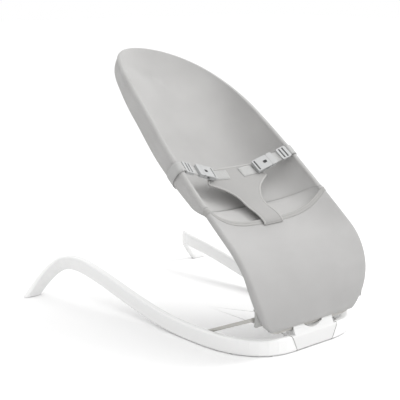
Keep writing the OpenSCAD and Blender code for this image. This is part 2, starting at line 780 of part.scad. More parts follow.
module plate(x1, x2, w, z1, z2, r = 3) {
    translate([(x1 + x2) / 2, 0, z1]) linear_extrude(z2 - z1)
        polygon(slab(x2 - x1, w, r, r, 4));
}
module webbing(x1, x2) {
    translate([x1, -web_w / 2, 0]) cube([x2 - x1, web_w, web_t]);
}
module passage(x1, x2) {
    translate([x1, -web_w / 2 - slot_gap, -slot_gap])
        cube([x2 - x1, web_w, web_t] + slot_gap * [0, 2, 2]);
}

// The tab lies on the crotch piece, so it leaves the line of the strap
module sewn_tab() {
    translate([0, 0, ease - crotch_gap])
        rotate([0, strap_tilt, 0]) webbing(-tab_l, housing_from - 2 * over);
}
module left_sewn_tab() { color(web_grey) on_strap(1) sewn_tab(); }
module right_sewn_tab() { color(web_grey) on_strap(-1) sewn_tab(); }

module buckle_housing() {
    inner_w = buckle_w - 6;
    difference() {
        plate(housing_from, housing_to, buckle_w, buckle_low, buckle_high);
        translate([housing_from + 11, -inner_w / 2, buckle_low + 2])
            cube([housing_l, inner_w, buckle_high - buckle_low - 4]);
        plate(housing_to - 16, housing_to - 6, 7, 0, 2 * buckle_high, 2);
        for (side = [-1, 1]) translate([housing_to - 18, side * buckle_w / 2 - 4, -over])
            cube([10, 8, buckle_high - 2 * over]);
        plate(housing_from + 3, housing_from + 7, web_w, 2 * buckle_low, 2 * buckle_high, 1);
    }
}
module left_buckle_housing() { color(plastic_grey) on_strap(1) buckle_housing(); }
module right_buckle_housing() { color(plastic_grey) on_strap(-1) buckle_housing(); }

module buckle_insert() {
    low = buckle_low + 2 + slot_gap;
    high = buckle_high - 2 - slot_gap;
    difference() {
        plate(insert_from, insert_to, buckle_w, buckle_low, buckle_high);
        passage(insert_to - 5, insert_to + over);
    }
    for (side = [-1, 1]) translate([insert_from - prong_l, side * 8.8 - 2.6, low])
        cube([prong_l + over, 5.2, high - low]);
    translate([insert_from - prong_l / 2, -2, low]) cube([prong_l / 2 + over, 4, high - low]);
}
module left_buckle_insert() { color(plastic_grey) on_strap(1) buckle_insert(); }
module right_buckle_insert() { color(plastic_grey) on_strap(-1) buckle_insert(); }

module waist_strap() { webbing(insert_to - 5 + ease, strap_to); }
module left_waist_strap() { color(web_grey) on_strap(1) waist_strap(); }
module right_waist_strap() { color(web_grey) on_strap(-1) waist_strap(); }

module adjuster() {
    difference() {
        plate(adjuster_from, strap_l, buckle_w, buckle_low + over, buckle_high - 2 * over);
        passage(adjuster_from - over, strap_l - adjuster_wall);
        for (x = [adjuster_from + 5, adjuster_from + 14])
            plate(x, x + 4, web_w, 0, 2 * buckle_high, 1);
    }
}
module left_adjuster() { color(plastic_grey) on_strap(1) adjuster(); }
module right_adjuster() { color(plastic_grey) on_strap(-1) adjuster(); }

// Webbing from the adjuster over the wire and down the sling's outer wall
loop_line = [[-8.9, 3.6], [-8.9, 7.6], [-8.1, 9.6], [-4, 10.2], [3, 9.9], [7.9, 8.6],
             [9.4, 3], [8.2, -3], [4.2, -8.5], [0, -13], [-3, -19], [-3.6, -28],
             [-5.2, -36], [-8.4, -44]];
module edge_loop() {
    side_x = half_w(loop_s);
    path = [for (q = loop_line) on_seat(loop_s, side_x + q[0], q[1])];
    lean = profile(loop_s)[1];
    skin(carried(path, [for (q = loop_line) [0, cos(lean), sin(lean)]],
                 slab(web_t, web_w, web_t / 6, web_t / 6, 1)));
}
module left_edge_loop() { color(web_grey) on_side(1) edge_loop(); }
module right_edge_loop() { color(web_grey) on_side(-1) edge_loop(); }
module left_frame_sleeve() { frame_sleeve(1); }
module right_frame_sleeve() { frame_sleeve(-1); }

left_leg();
right_leg();
hub_front_shell();
hub_rear_shell();
left_pivot_bush();
right_pivot_bush();
hub_screws();
leg_screws();
front_pads();
rear_pads();
left_stand_socket();
right_stand_socket();
recline_stand();
lower_wire();
upper_hoop();
left_frame_sleeve();
right_frame_sleeve();
left_rack();
right_rack();
rack_rivets();
back_sling();
seat_pocket();
front_panel();
rim_piping();
crotch_piece();
left_sewn_tab();
right_sewn_tab();
left_buckle_housing();
right_buckle_housing();
left_buckle_insert();
right_buckle_insert();
left_waist_strap();
right_waist_strap();
left_adjuster();
right_adjuster();
left_edge_loop();
right_edge_loop();
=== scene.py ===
"""Studio scene of an infant bouncer seat: sprung white base, wire seat frame,
stretched fabric seat and a three point waist harness."""

from __future__ import annotations

import json
import logging
import math
from dataclasses import dataclass
from enum import Enum
from typing import Callable, Iterable, Sequence

import bmesh
import bpy
import numpy as np
from mathutils import Matrix, Vector


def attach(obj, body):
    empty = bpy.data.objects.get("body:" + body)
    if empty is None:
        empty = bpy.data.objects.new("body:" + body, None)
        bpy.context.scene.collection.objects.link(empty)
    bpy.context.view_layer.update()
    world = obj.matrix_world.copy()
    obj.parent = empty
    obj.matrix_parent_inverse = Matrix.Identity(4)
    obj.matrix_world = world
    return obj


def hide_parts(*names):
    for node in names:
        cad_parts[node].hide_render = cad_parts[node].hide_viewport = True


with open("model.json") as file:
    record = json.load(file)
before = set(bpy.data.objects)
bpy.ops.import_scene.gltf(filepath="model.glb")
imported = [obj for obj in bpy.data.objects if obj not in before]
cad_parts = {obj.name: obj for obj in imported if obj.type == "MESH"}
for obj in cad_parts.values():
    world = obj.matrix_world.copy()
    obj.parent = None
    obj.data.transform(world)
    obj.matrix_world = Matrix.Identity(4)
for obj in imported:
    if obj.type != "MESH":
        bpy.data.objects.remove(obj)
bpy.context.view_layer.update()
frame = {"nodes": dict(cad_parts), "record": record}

LOG = logging.getLogger("bouncer")
MM = 0.001


class Side(Enum):
    """The sitter's left and right, with the sign of X on each."""

    LEFT = 1
    RIGHT = -1

    @property
    def word(self) -> str:
        """The word that starts the names of this side's nodes."""
        return self.name.lower()


class Body(Enum):
    """The moving bodies of the seat."""

    BASE = "base"
    STAND = "stand"
    SEAT = "seat"
    LEFT_INSERT = "left_insert"
    RIGHT_INSERT = "right_insert"


class Slot(Enum):
    """The record's material slots."""

    SHELL = "white_shell"
    WIRE = "coated_wire"
    STEEL = "fastener_steel"
    PAD = "pad_rubber"
    FABRIC = "seat_fabric"
    WEBBING = "webbing"
    BUCKLE = "buckle_plastic"
    GREY = "grey_plastic"


# ---------------------------------------------------------------- measures
def mix(a: float, b: float, t: float) -> float:
    """The value at share t of the way from a to b."""
    return a + (b - a) * t


def smooth(t: float) -> float:
    """A soft step from 0 to 1 as t goes from 0 to 1.

    Args:
        t: Share of the step; it is held between 0 and 1.

    Returns:
        The eased share.
    """
    t = min(1.0, max(0.0, t))
    return t * t * (3 - 2 * t)


def bowl(v: float, power: float, full: float) -> float:
    """Depth share of a trough at v, from 1 in the middle to 0 at 1.

    Args:
        v: Share of the half width.
        power: Flatness of the floor.
        full: Steepness of the walls; smaller is steeper.

    Returns:
        The share of the full depth.
    """
    return (1 - min(1.0, abs(v)) ** power) ** full


@dataclass(frozen=True)
class Ramp:
    """A soft change along the frame that starts at start and takes run."""

    start: float
    run: float

    def at(self, s: float) -> float:
        """Share of the change that is done at s, from 0 to 1."""
        return smooth((s - self.start) / self.run)


@dataclass(frozen=True)
class SeatCurve:
    """The side line and the outline of the wire seat frame, in millimetres.

    s runs along the frame from the pivot to the head, x is the distance from
    the mirror plane and n the height out of the seat.
    """

    foot: tuple[float, float] = (-314.8, 46.6)
    lean_foot: float = 106.5
    lean_seat: float = 38.7
    lean_head: float = 15.6
    knee_r: float = 158.0
    seat_run: float = 331.0
    head_run: float = 297.0
    bottom_run: float = 184.0
    frame_w: float = 331.0
    wide_s: float = 170.0
    foot_pow: float = 1.9
    head_pow: float = 2.7
    samples: int = 2400

    @property
    def knee_run(self) -> float:
        """Length of the knee bend."""
        return self.knee_r * math.radians(self.lean_foot - self.lean_seat)

    @property
    def run(self) -> float:
        """Length of the whole side line."""
        return self.knee_run + self.seat_run + self.head_run

    @staticmethod
    def arc(p: tuple[float, float], a: float, b: float, run: float,
            s: float) -> tuple[float, float, float]:
        """Follows an arc.

        Args:
            p: Start point, as y and z.
            a: Lean at the start in degrees.
            b: Lean after run in degrees.
            run: Length of the arc.
            s: Distance along it.

        Returns:
            y, z and the lean in degrees at s.
        """
        k = math.radians(b - a) / run
        t, t0 = math.radians(a) + k * s, math.radians(a)
        return (p[0] + (math.sin(t) - math.sin(t0)) / k,
                p[1] + (math.cos(t0) - math.cos(t)) / k, math.degrees(t))

    def profile(self, s: float) -> tuple[float, float, float]:
        """Follows the side line.

        Args:
            s: Distance along the side line.

        Returns:
            y, z and the lean in degrees.
        """
        if s < self.knee_run:
            return self.arc(self.foot, self.lean_foot, self.lean_seat, self.knee_run, s)
        y, z, _ = self.arc(self.foot, self.lean_foot, self.lean_seat, self.knee_run,
                           self.knee_run)
        lean = math.radians(self.lean_seat)
        d = min(s - self.knee_run, self.seat_run)
        y, z = y + d * math.cos(lean), z + d * math.sin(lean)
        if s <= self.knee_run + self.seat_run:
            return y, z, self.lean_seat
        return self.arc((y, z), self.lean_seat, self.lean_head, self.head_run,
                        s - self.knee_run - self.seat_run)

    def half(self, s: float, out: float = 0.0) -> float:
        """Half width of the outline.

        Args:
            s: Distance along the side line.
            out: How far the outline is set outwards.

        Returns:
            The half width.
        """
        if s < self.wide_s:
            grow = math.sqrt(max(0.0, 1 - ((self.wide_s - s) / self.wide_s)
                                 ** self.foot_pow))
            return mix(self.bottom_run, self.frame_w, grow) / 2 + out
        u = (s - self.wide_s) / (self.run + out - self.wide_s)
        return (self.frame_w / 2 + out) * math.sqrt(max(0.0, 1 - u ** self.head_pow))

    def out(self, s: float) -> np.ndarray:
        """Direction out of the seat at s."""
        t = math.radians(self.profile(s)[2])
        return np.array((0.0, -math.sin(t), math.cos(t)))

    def point(self, s: float, x: float, n: float = 0.0) -> np.ndarray:
        """Place of a point in metres."""
        y, z, _ = self.profile(s)
        return (np.array((x, y, z)) + n * self.out(s)) * MM

    def outline(self, start: float, count: int) -> list[tuple[float, float, float, float]]:
        """Evenly spaced places on the left half of the outline.

        Args:
            start: Where on the side line the first place lies.
            count: Number of places; the last one is at the head's middle.

        Returns:
            For each place x, s and the outward direction in x and s.
        """
        s = self.run - (self.run - start) * np.linspace(1, 0, self.samples) ** 2
        x = np.array([self.half(float(v)) for v in s])
        way = np.concatenate(([0.0], np.cumsum(np.hypot(np.diff(x), np.diff(s)))))
        at = np.linspace(0, way[-1], count)
        xs, ss = np.interp(at, way, x), np.interp(at, way, s)
        dx, ds = np.gradient(xs), np.gradient(ss)
        dx[-1], ds[-1] = -1.0, 0.0
        size = np.hypot(dx, ds)
        return list(zip(xs, ss, ds / size, -dx / size))


CURVE = SeatCurve()


# ------------------------------------------------------------------ meshes
def grid_faces(rows: int, cols: int) -> list[tuple[int, int, int, int]]:
    """Four-sided faces of a grid of points stored row by row."""
    return [(i * cols + j, i * cols + j + 1, (i + 1) * cols + j + 1, (i + 1) * cols + j)
            for i in range(rows - 1) for j in range(cols - 1)]


def tube_faces(rings: int, sides: int) -> list[tuple[int, ...]]:
    """Faces of a closed tube of points stored ring by ring, with both ends.

    Args:
        rings: Number of rings.
        sides: Number of points in each ring.

    Returns:
        The corner numbers of each face.
    """
    faces: list[tuple[int, ...]] = [
        (i * sides + j, i * sides + (j + 1) % sides, (i + 1) * sides + (j + 1) % sides,
         (i + 1) * sides + j) for i in range(rings - 1) for j in range(sides)]
    return faces + [tuple(range(sides - 1, -1, -1)),
                    tuple(range((rings - 1) * sides, rings * sides))]


def new_piece(name: str, points: Sequence[Sequence[float]],
              faces: Sequence[Sequence[int]],
              spots: Sequence[tuple[float, float]] | None = None) -> bpy.types.Object:
    """Makes a smooth mesh object.

    Args:
        name: Name of the piece.
        points: Places in metres.
        faces: Corner numbers of each face.
        spots: Place of each point on the flat cloth, in metres.

    Returns:
        The new object, in the scene.
    """
    mesh = bpy.data.meshes.new(name)
    mesh.from_pydata([tuple(map(float, p)) for p in points], [], [tuple(f) for f in faces])
    if spots is not None:
        layer = mesh.uv_layers.new(name="cloth")
        for loop in mesh.loops:
            layer.data[loop.index].uv = spots[loop.vertex_index]
    mesh.validate()
    mesh.shade_smooth()
    piece = bpy.data.objects.new(name, mesh)
    bpy.context.scene.collection.objects.link(piece)
    return piece


def thicken(piece: bpy.types.Object, thick: float) -> None:
    """Gives a sheet its thickness, inwards from the face that was built.

    Args:
        piece: The sheet.
        thick: Thickness in millimetres.
    """
    shell = piece.modifiers.new("thickness", "SOLIDIFY")
    shell.thickness = thick * MM
    shell.offset = -1.0
    shell.use_even_offset = False


def mesh_area(points: np.ndarray, faces: Sequence[Sequence[int]]) -> float:
    """Area of four-sided faces in square metres.

    Args:
        points: Places in metres.
        faces: Corner numbers of each face.

    Returns:
        The sum of the faces' areas.
    """
    p = np.asarray(points, float)
    f = np.asarray(faces, int)
    return float(0.5 * np.linalg.norm(
        np.cross(p[f[:, 2]] - p[f[:, 0]], p[f[:, 3]] - p[f[:, 1]]), axis=1).sum())


def row_length(points: np.ndarray) -> float:
    """Length of a line of points in metres."""
    return float(np.linalg.norm(np.diff(np.asarray(points, float), axis=0), axis=1).sum())


def mirrored(grid: np.ndarray, spots: np.ndarray) -> tuple[np.ndarray, np.ndarray]:
    """Completes a half grid that starts at the mirror plane.

    Args:
        grid: Rows of points whose first column lies at X = 0.
        spots: Flat places of the same points.

    Returns:
        The whole grid of points, right side first, and its flat places.
    """
    other = grid[:, :0:-1].copy()
    other[:, :, 0] *= -1
    flat = spots[:, :0:-1].copy()
    flat[:, :, 0] *= -1
    return np.concatenate((other, grid), axis=1), np.concatenate((flat, spots), axis=1)


def both_sides(half: Sequence[np.ndarray]) -> list[np.ndarray]:
    """The whole line whose left half starts at the mirror plane."""
    return [np.array((-p[0], p[1], p[2])) for p in reversed(half[1:])] + list(half)


def cloth_from_half(name: str, rows: list[list[np.ndarray]],
                    lengths: Sequence[float]) -> tuple[bpy.types.Object, float, float, float]:
    """Makes a mirrored cloth from rows of points that start at X = 0.

    Args:
        name: Name of the piece.
        rows: Rows of points in metres.
        lengths: Place of each row along the cloth in metres.

    Returns:
        The piece, its flat width and length in metres, and its area.
    """
    half = np.array(rows, float)
    steps = np.linalg.norm(np.diff(half, axis=1), axis=2)
    across = np.concatenate((np.zeros((len(rows), 1)), np.cumsum(steps, axis=1)), axis=1)
    spots = np.stack((across, np.repeat(np.array(lengths)[:, None], half.shape[1], 1)), -1)
    grid, flat = mirrored(half, spots)
    count, cols = grid.shape[:2]
    faces = grid_faces(count, cols)
    points = grid.reshape(-1, 3)
    area = mesh_area(points, faces)
    piece = new_piece(name, points, faces, flat.reshape(-1, 2).tolist())
    width = 2 * float(across.max())
    length = max(row_length(half[:, j]) for j in range(0, half.shape[1], 4))
    return piece, width, length, area


def weld(piece: bpy.types.Object, distance: float = 0.02, sliver: float = 0.004) -> None:
    """Joins points of a mesh that lie together and turns its faces outwards.

    Args:
        piece: The piece to clean.
        distance: Points closer than this many millimetres are joined.
        sliver: Edges shorter than this many millimetres are dissolved.
    """
    work = bmesh.new()
    work.from_mesh(piece.data)
    bmesh.ops.remove_doubles(work, verts=work.verts, dist=distance * MM)
    bmesh.ops.dissolve_degenerate(work, edges=work.edges, dist=sliver * MM)
    bmesh.ops.recalc_face_normals(work, faces=work.faces)
    work.to_mesh(piece.data)
    work.free()
    piece.data.shade_smooth()


def ribbon(name: str, path: Sequence[np.ndarray], sides: Sequence[np.ndarray], wide: float,
           thick: float, taper: bool = False) -> bpy.types.Object:
    """Makes a flat band with rounded edges along a path.

    Args:
        name: Name of the piece.
        path: Middle line in metres.
        sides: Direction across the band at each point.
        wide: Width in millimetres.
        thick: Thickness in millimetres.
        taper: Whether the ends are pressed a little thinner.

    Returns:
        The band.
    """
    w, h, lip = wide / 2, thick / 2, 0.15
    section = [(-w + lip, h * 0.9), (-w * 0.72, h), (-w * 0.36, h * 0.97), (0, h),
               (w * 0.36, h * 0.97), (w * 0.72, h), (w - lip, h * 0.9), (w, 0),
               (w - lip, -h * 0.9), (w * 0.5, -h), (-w * 0.5, -h), (-w + lip, -h * 0.9),
               (-w, 0)]
    rings: list[np.ndarray] = []
    spots: list[tuple[float, float]] = []
    way = 0.0
    for i, p in enumerate(path):
        ahead = path[min(i + 1, len(path) - 1)] - path[max(i - 1, 0)]
        side = sides[i] / np.linalg.norm(sides[i])
        up = np.cross(ahead / np.linalg.norm(ahead), side)
        way += float(np.linalg.norm(p - path[max(i - 1, 0)]))
        press = 0.7 if taper and i in (0, len(path) - 1) else 1.0
        for a, b in section:
            rings.append(p + MM * (a * side + b * press * up))
            spots.append((a * MM, way))
    piece = new_piece(name, rings, tube_faces(len(path), len(section)), spots)
    weld(piece, 0.001)
    return piece


def rope(name: str, path: Sequence[np.ndarray], radius: float, flat: float = 1.0,
         ups: Sequence[np.ndarray] | None = None, sides: int = 10) -> bpy.types.Object:
    """Makes a round or pressed bead along a path.

    Args:
        name: Name of the piece.
        path: Middle line in metres.
        radius: Half of the bead's width in millimetres.
        flat: Height of the bead as a share of its width.
        ups: Direction of the bead's height at each point.
        sides: Number of sides.

    Returns:
        The bead.
    """
    rings: list[np.ndarray] = []
    spots: list[tuple[float, float]] = []
    way = 0.0
    for i, p in enumerate(path):
        ahead = path[min(i + 1, len(path) - 1)] - path[max(i - 1, 0)]
        ahead = ahead / np.linalg.norm(ahead)
        up = ups[i] if ups is not None else np.array((0.0, 0.0, 1.0))
        side = np.cross(ahead, up)
        side /= np.linalg.norm(side)
        up = np.cross(side, ahead)
        way += float(np.linalg.norm(p - path[max(i - 1, 0)]))
        for j in range(sides):
            a = 2 * math.pi * j / sides
            rings.append(p + MM * radius * (math.cos(a) * side + flat * math.sin(a) * up))
            spots.append((radius * MM * a, way))
    piece = new_piece(name, rings, tube_faces(len(path), sides), spots)
    weld(piece, 0.001)
    return piece


def stitches(name: str, path: Sequence[np.ndarray], ups: Sequence[np.ndarray],
             pitch: float = 3.2, length: float = 2.2, thick: float = 0.42
             ) -> bpy.types.Object:
    """Makes a row of sewn stitches as one mesh.

    Args:
        name: Name of the piece.
        path: Line of the seam in metres.
        ups: Direction out of the cloth at each point.
        pitch: Distance between stitches in millimetres.
        length: Length of a stitch in millimetres.
        thick: Thickness of the thread in millimetres.

    Returns:
        The row of stitches.
    """
    way = np.concatenate(([0.0], np.cumsum(
        [np.linalg.norm(b - a) for a, b in zip(path[:-1], path[1:])]))) / MM
    p, u = np.array(path), np.array(ups)

    def at(d: float) -> tuple[np.ndarray, np.ndarray]:
        """The seam's point and up direction at distance d."""
        up = np.array([np.interp(d, way, u[:, k]) for k in range(3)])
        return (np.array([np.interp(d, way, p[:, k]) for k in range(3)]),
                up / np.linalg.norm(up))

    sides = 6
    rings = ((0, 0.35), (0.2, 0.9), (0.5, 1.0), (0.8, 0.9), (1, 0.35))
    tube = tube_faces(len(rings), sides)
    points: list[np.ndarray] = []
    faces: list[tuple[int, ...]] = []
    for d in np.arange(pitch / 2, way[-1] - length / 2, pitch):
        (a, up), (b, _) = at(d - length / 2), at(d + length / 2)
        ahead = (b - a) / np.linalg.norm(b - a)
        side = np.cross(ahead, up)
        start = len(points)
        for t, fat in rings:
            for k in range(sides):
                ang = 2 * math.pi / sides * k
                points.append(a + (b - a) * t + MM * thick / 2 * fat
                              * (math.cos(ang) * side + (math.sin(ang) + 0.3) * up))
        faces += [tuple(start + k for k in face) for face in tube]
    return new_piece(name, points, faces)


# --------------------------------------------------------------- materials
Node = bpy.types.Node
Tree = bpy.types.NodeTree


def new_group(name: str, ins: Iterable[tuple[str, str, float]],
              outs: Iterable[tuple[str, str]]) -> tuple[Tree, Node, Node]:
    """Starts a shader node group.

    Args:
        name: Name of the group.
        ins: Name, socket type and default of each input.
        outs: Name and socket type of each output.

    Returns:
        The tree with its input and output nodes.
    """
    tree = bpy.data.node_groups.new(name, "ShaderNodeTree")
    for label, kind, value in ins:
        socket = tree.interface.new_socket(label, in_out="INPUT", socket_type=kind)
        if kind == "NodeSocketFloat":
            socket.default_value = value
    for label, kind in outs:
        tree.interface.new_socket(label, in_out="OUTPUT", socket_type=kind)
    return tree, tree.nodes.new("NodeGroupInput"), tree.nodes.new("NodeGroupOutput")


def maths(tree: Tree, operation: str, a: object, b: object = 0.0, c: object = 0.0
          ) -> bpy.types.NodeSocket:
    """Adds a Math node.

    Args:
        tree: Where the node is added.
        operation: What the node does.
        a: First value, a socket or a number.
        b: Second value.
        c: Third value.

    Returns:
        The node's output.
    """
    node = tree.nodes.new("ShaderNodeMath")
    node.operation = operation
    for i, value in enumerate((a, b, c)):
        if isinstance(value, bpy.types.NodeSocket):
            tree.links.new(value, node.inputs[i])
        else:
            node.inputs[i].default_value = float(value)
    return node.outputs[0]


def woven_relief() -> Tree:
    """Builds the group that gives the relief of a fine woven cloth.

    Returns:
        The group, with the relief's height and a mask of the upper threads.
    """
    tree, gin, gout = new_group(
        "woven_relief",
        [("Place", "NodeSocketVector", 0.0), ("Pitch", "NodeSocketFloat", 0.0011),
         ("Rib", "NodeSocketFloat", 0.5), ("Slant", "NodeSocketFloat", 0.0)],
        [("Height", "NodeSocketFloat"), ("Thread", "NodeSocketFloat")])
    split = tree.nodes.new("ShaderNodeSeparateXYZ")
    tree.links.new(gin.outputs["Place"], split.inputs[0])
    turn = maths(tree, "DIVIDE", 2 * math.pi, gin.outputs["Pitch"])
    slant = gin.outputs["Slant"]
    over = maths(tree, "MULTIPLY_ADD", split.outputs[1], slant, split.outputs[0])
    back = maths(tree, "MULTIPLY", maths(tree, "MULTIPLY", split.outputs[0], slant), -1.0)
    along = maths(tree, "ADD", split.outputs[1], back)
    warp = maths(tree, "SINE", maths(tree, "MULTIPLY", over, turn))
    weft = maths(tree, "SINE", maths(tree, "MULTIPLY", along, turn))
    cross = maths(tree, "MULTIPLY", warp, weft)
    rib = maths(tree, "MULTIPLY", maths(tree, "ABSOLUTE", warp), gin.outputs["Rib"])
    height = maths(tree, "MULTIPLY_ADD", cross, 0.5, rib)
    tree.links.new(height, gout.inputs["Height"])
    tree.links.new(maths(tree, "MULTIPLY_ADD", cross, 0.5, 0.5), gout.inputs["Thread"])
    return tree


def uneven_tone() -> Tree:
    """Builds the group that gives slow and fine unevenness of a surface.

    Returns:
        The group, with a tone round 0.5 and a fine grain.
    """
    tree, gin, gout = new_group(
        "uneven_tone",
        [("Place", "NodeSocketVector", 0.0), ("Broad", "NodeSocketFloat", 9.0),
         ("Fine", "NodeSocketFloat", 400.0), ("Amount", "NodeSocketFloat", 0.5)],
        [("Tone", "NodeSocketFloat"), ("Grain", "NodeSocketFloat")])
    parts = []
    for label, detail in (("Broad", 3.0), ("Fine", 2.0)):
        noise = tree.nodes.new("ShaderNodeTexNoise")
        noise.inputs["Detail"].default_value = detail
        tree.links.new(gin.outputs["Place"], noise.inputs["Vector"])
        tree.links.new(gin.outputs[label], noise.inputs["Scale"])
        parts.append(noise.outputs["Fac"])
    tone = maths(tree, "MULTIPLY_ADD", parts[1], 0.35, maths(tree, "MULTIPLY", parts[0], 0.65))
    shift = maths(tree, "MULTIPLY", maths(tree, "SUBTRACT", tone, 0.5), gin.outputs["Amount"])
    tree.links.new(maths(tree, "ADD", shift, 0.5), gout.inputs["Tone"])
    tree.links.new(parts[1], gout.inputs["Grain"])
    return tree


def convex_edge_mask() -> Tree:
    """Builds the group that masks sharp convex corners and edges.

    Returns:
        The group, with the mask.
    """
    tree, gin, gout = new_group(
        "convex_edge_mask", [("Start", "NodeSocketFloat", 0.52), ("Amount", "NodeSocketFloat", 1.0)],
        [("Mask", "NodeSocketFloat")])
    shape = tree.nodes.new("ShaderNodeNewGeometry")
    rise = maths(tree, "SUBTRACT", shape.outputs["Pointiness"], gin.outputs["Start"])
    mask = maths(tree, "MULTIPLY", maths(tree, "MULTIPLY", rise, 12.0), gin.outputs["Amount"])
    limit = tree.nodes.new("ShaderNodeClamp")
    tree.links.new(mask, limit.inputs[0])
    tree.links.new(limit.outputs[0], gout.inputs["Mask"])
    return tree


class Effects:
    """The shader node groups that the finishes share."""

    def __init__(self) -> None:
        """Builds every group once."""
        self.weave = woven_relief()
        self.tone = uneven_tone()
        self.edge = convex_edge_mask()


EFFECTS = Effects()
Colour = tuple[float, float, float]


def use_group(tree: Tree, group: Tree, **values: object) -> Node:
    """Places a group in a material with its own values.

    Args:
        tree: The material's tree.
        group: The group to place.
        values: Numbers or sockets, named for the group's inputs.

    Returns:
        The placed node.
    """
    node = tree.nodes.new("ShaderNodeGroup")
    node.node_tree = group
    for label, value in values.items():
        if isinstance(value, bpy.types.NodeSocket):
            tree.links.new(value, node.inputs[label])
        else:
            node.inputs[label].default_value = value
    return node


def blend_colours(tree: Tree, share: bpy.types.NodeSocket, a: Colour, b: Colour
                  ) -> bpy.types.NodeSocket:
    """Mixes two colours.

    Args:
        tree: The material's tree.
        share: How far the colour is from a to b.
        a: Colour at share 0.
        b: Colour at share 1.

    Returns:
        The mixed colour.
    """
    node = tree.nodes.new("ShaderNodeMix")
    node.data_type = "RGBA"
    tree.links.new(share, node.inputs[0])
    node.inputs[6].default_value = (*a, 1)
    node.inputs[7].default_value = (*b, 1)
    return node.outputs[2]


def bump(tree: Tree, height: bpy.types.NodeSocket, distance: float, strength: float
         ) -> bpy.types.NodeSocket:
    """Turns a relief into a normal.

    Args:
        tree: The material's tree.
        height: The relief.
        distance: Height of the relief in millimetres.
        strength: Its strength.

    Returns:
        The bumped normal.
    """
    node = tree.nodes.new("ShaderNodeBump")
    node.inputs["Distance"].default_value = distance * MM
    node.inputs["Strength"].default_value = strength
    tree.links.new(height, node.inputs["Height"])
    return node.outputs[0]


def start_material(name: str) -> tuple[bpy.types.Material, Tree, Node]:
    """Starts a material.

    Args:
        name: Name of the material.

    Returns:
        The material, its tree and its Principled shader.
    """
    made = bpy.data.materials.new(name)
    made.use_nodes = True
    return made, made.node_tree, made.node_tree.nodes["Principled BSDF"]


@dataclass(frozen=True)
class ClothFinish:
    """A woven or knitted cloth."""

    name: str
    light: Colour
    dark: Colour
    pitch: float = 2.6
    rib: float = 0.25
    slant: float = 1.0
    depth: float = 0.34
    roughness: float = 0.88
    sheen: float = 0.25

    def make(self) -> bpy.types.Material:
        """Makes the cloth's material.

        Returns:
            The material, placed by the cloth's flat layout.
        """
        made, tree, shader = start_material(self.name)
        flat = tree.nodes.new("ShaderNodeUVMap")
        flat.uv_map = "cloth"
        solid = tree.nodes.new("ShaderNodeTexCoord")
        weave = use_group(tree, EFFECTS.weave, Place=flat.outputs[0],
                          Pitch=self.pitch * MM, Rib=self.rib, Slant=self.slant)
        tone = use_group(tree, EFFECTS.tone, Place=solid.outputs["Object"], Broad=14.0,
                         Fine=900.0, Amount=0.9)
        share = maths(tree, "MULTIPLY_ADD", weave.outputs["Thread"], 0.35,
                      maths(tree, "MULTIPLY", tone.outputs["Tone"], 0.65))
        tree.links.new(blend_colours(tree, share, self.dark, self.light),
                       shader.inputs["Base Color"])
        height = maths(tree, "MULTIPLY_ADD", tone.outputs["Grain"], 0.35,
                       weave.outputs["Height"])
        tree.links.new(bump(tree, height, self.depth, 0.7), shader.inputs["Normal"])
        shader.inputs["Roughness"].default_value = self.roughness
        shader.inputs["Sheen Weight"].default_value = self.sheen
        shader.inputs["Sheen Roughness"].default_value = 0.5
        shader.inputs["Specular IOR Level"].default_value = 0.25
        return made


@dataclass(frozen=True)
class PlasticFinish:
    """A moulded or painted hard surface."""

    name: str
    body: Colour
    edge: Colour
    roughness: float = 0.35
    spread: float = 0.12
    coat: float = 0.0
    metal: float = 0.0
    grain: float = 500.0
    depth: float = 0.03

    def make(self) -> bpy.types.Material:
        """Makes the surface's material.

        Returns:
            The material, the same on every side of a part.
        """
        made, tree, shader = start_material(self.name)
        solid = tree.nodes.new("ShaderNodeTexCoord")
        tone = use_group(tree, EFFECTS.tone, Place=solid.outputs["Object"], Broad=11.0,
                         Fine=self.grain, Amount=1.0)
        # Sharp convex edges take the finish's lighter edge colour.
        convex_edges = use_group(tree, EFFECTS.edge, Start=0.53, Amount=0.6)
        tree.links.new(blend_colours(tree, convex_edges.outputs["Mask"], self.body, self.edge),
                       shader.inputs["Base Color"])
        rough = maths(tree, "MULTIPLY_ADD",
                      maths(tree, "SUBTRACT", tone.outputs["Tone"], 0.5), self.spread,
                      self.roughness)
        tree.links.new(rough, shader.inputs["Roughness"])
        tree.links.new(bump(tree, tone.outputs["Grain"], self.depth, 0.5),
                       shader.inputs["Normal"])
        shader.inputs["Metallic"].default_value = self.metal
        shader.inputs["Coat Weight"].default_value = self.coat
        shader.inputs["Coat Roughness"].default_value = 0.12
        return made


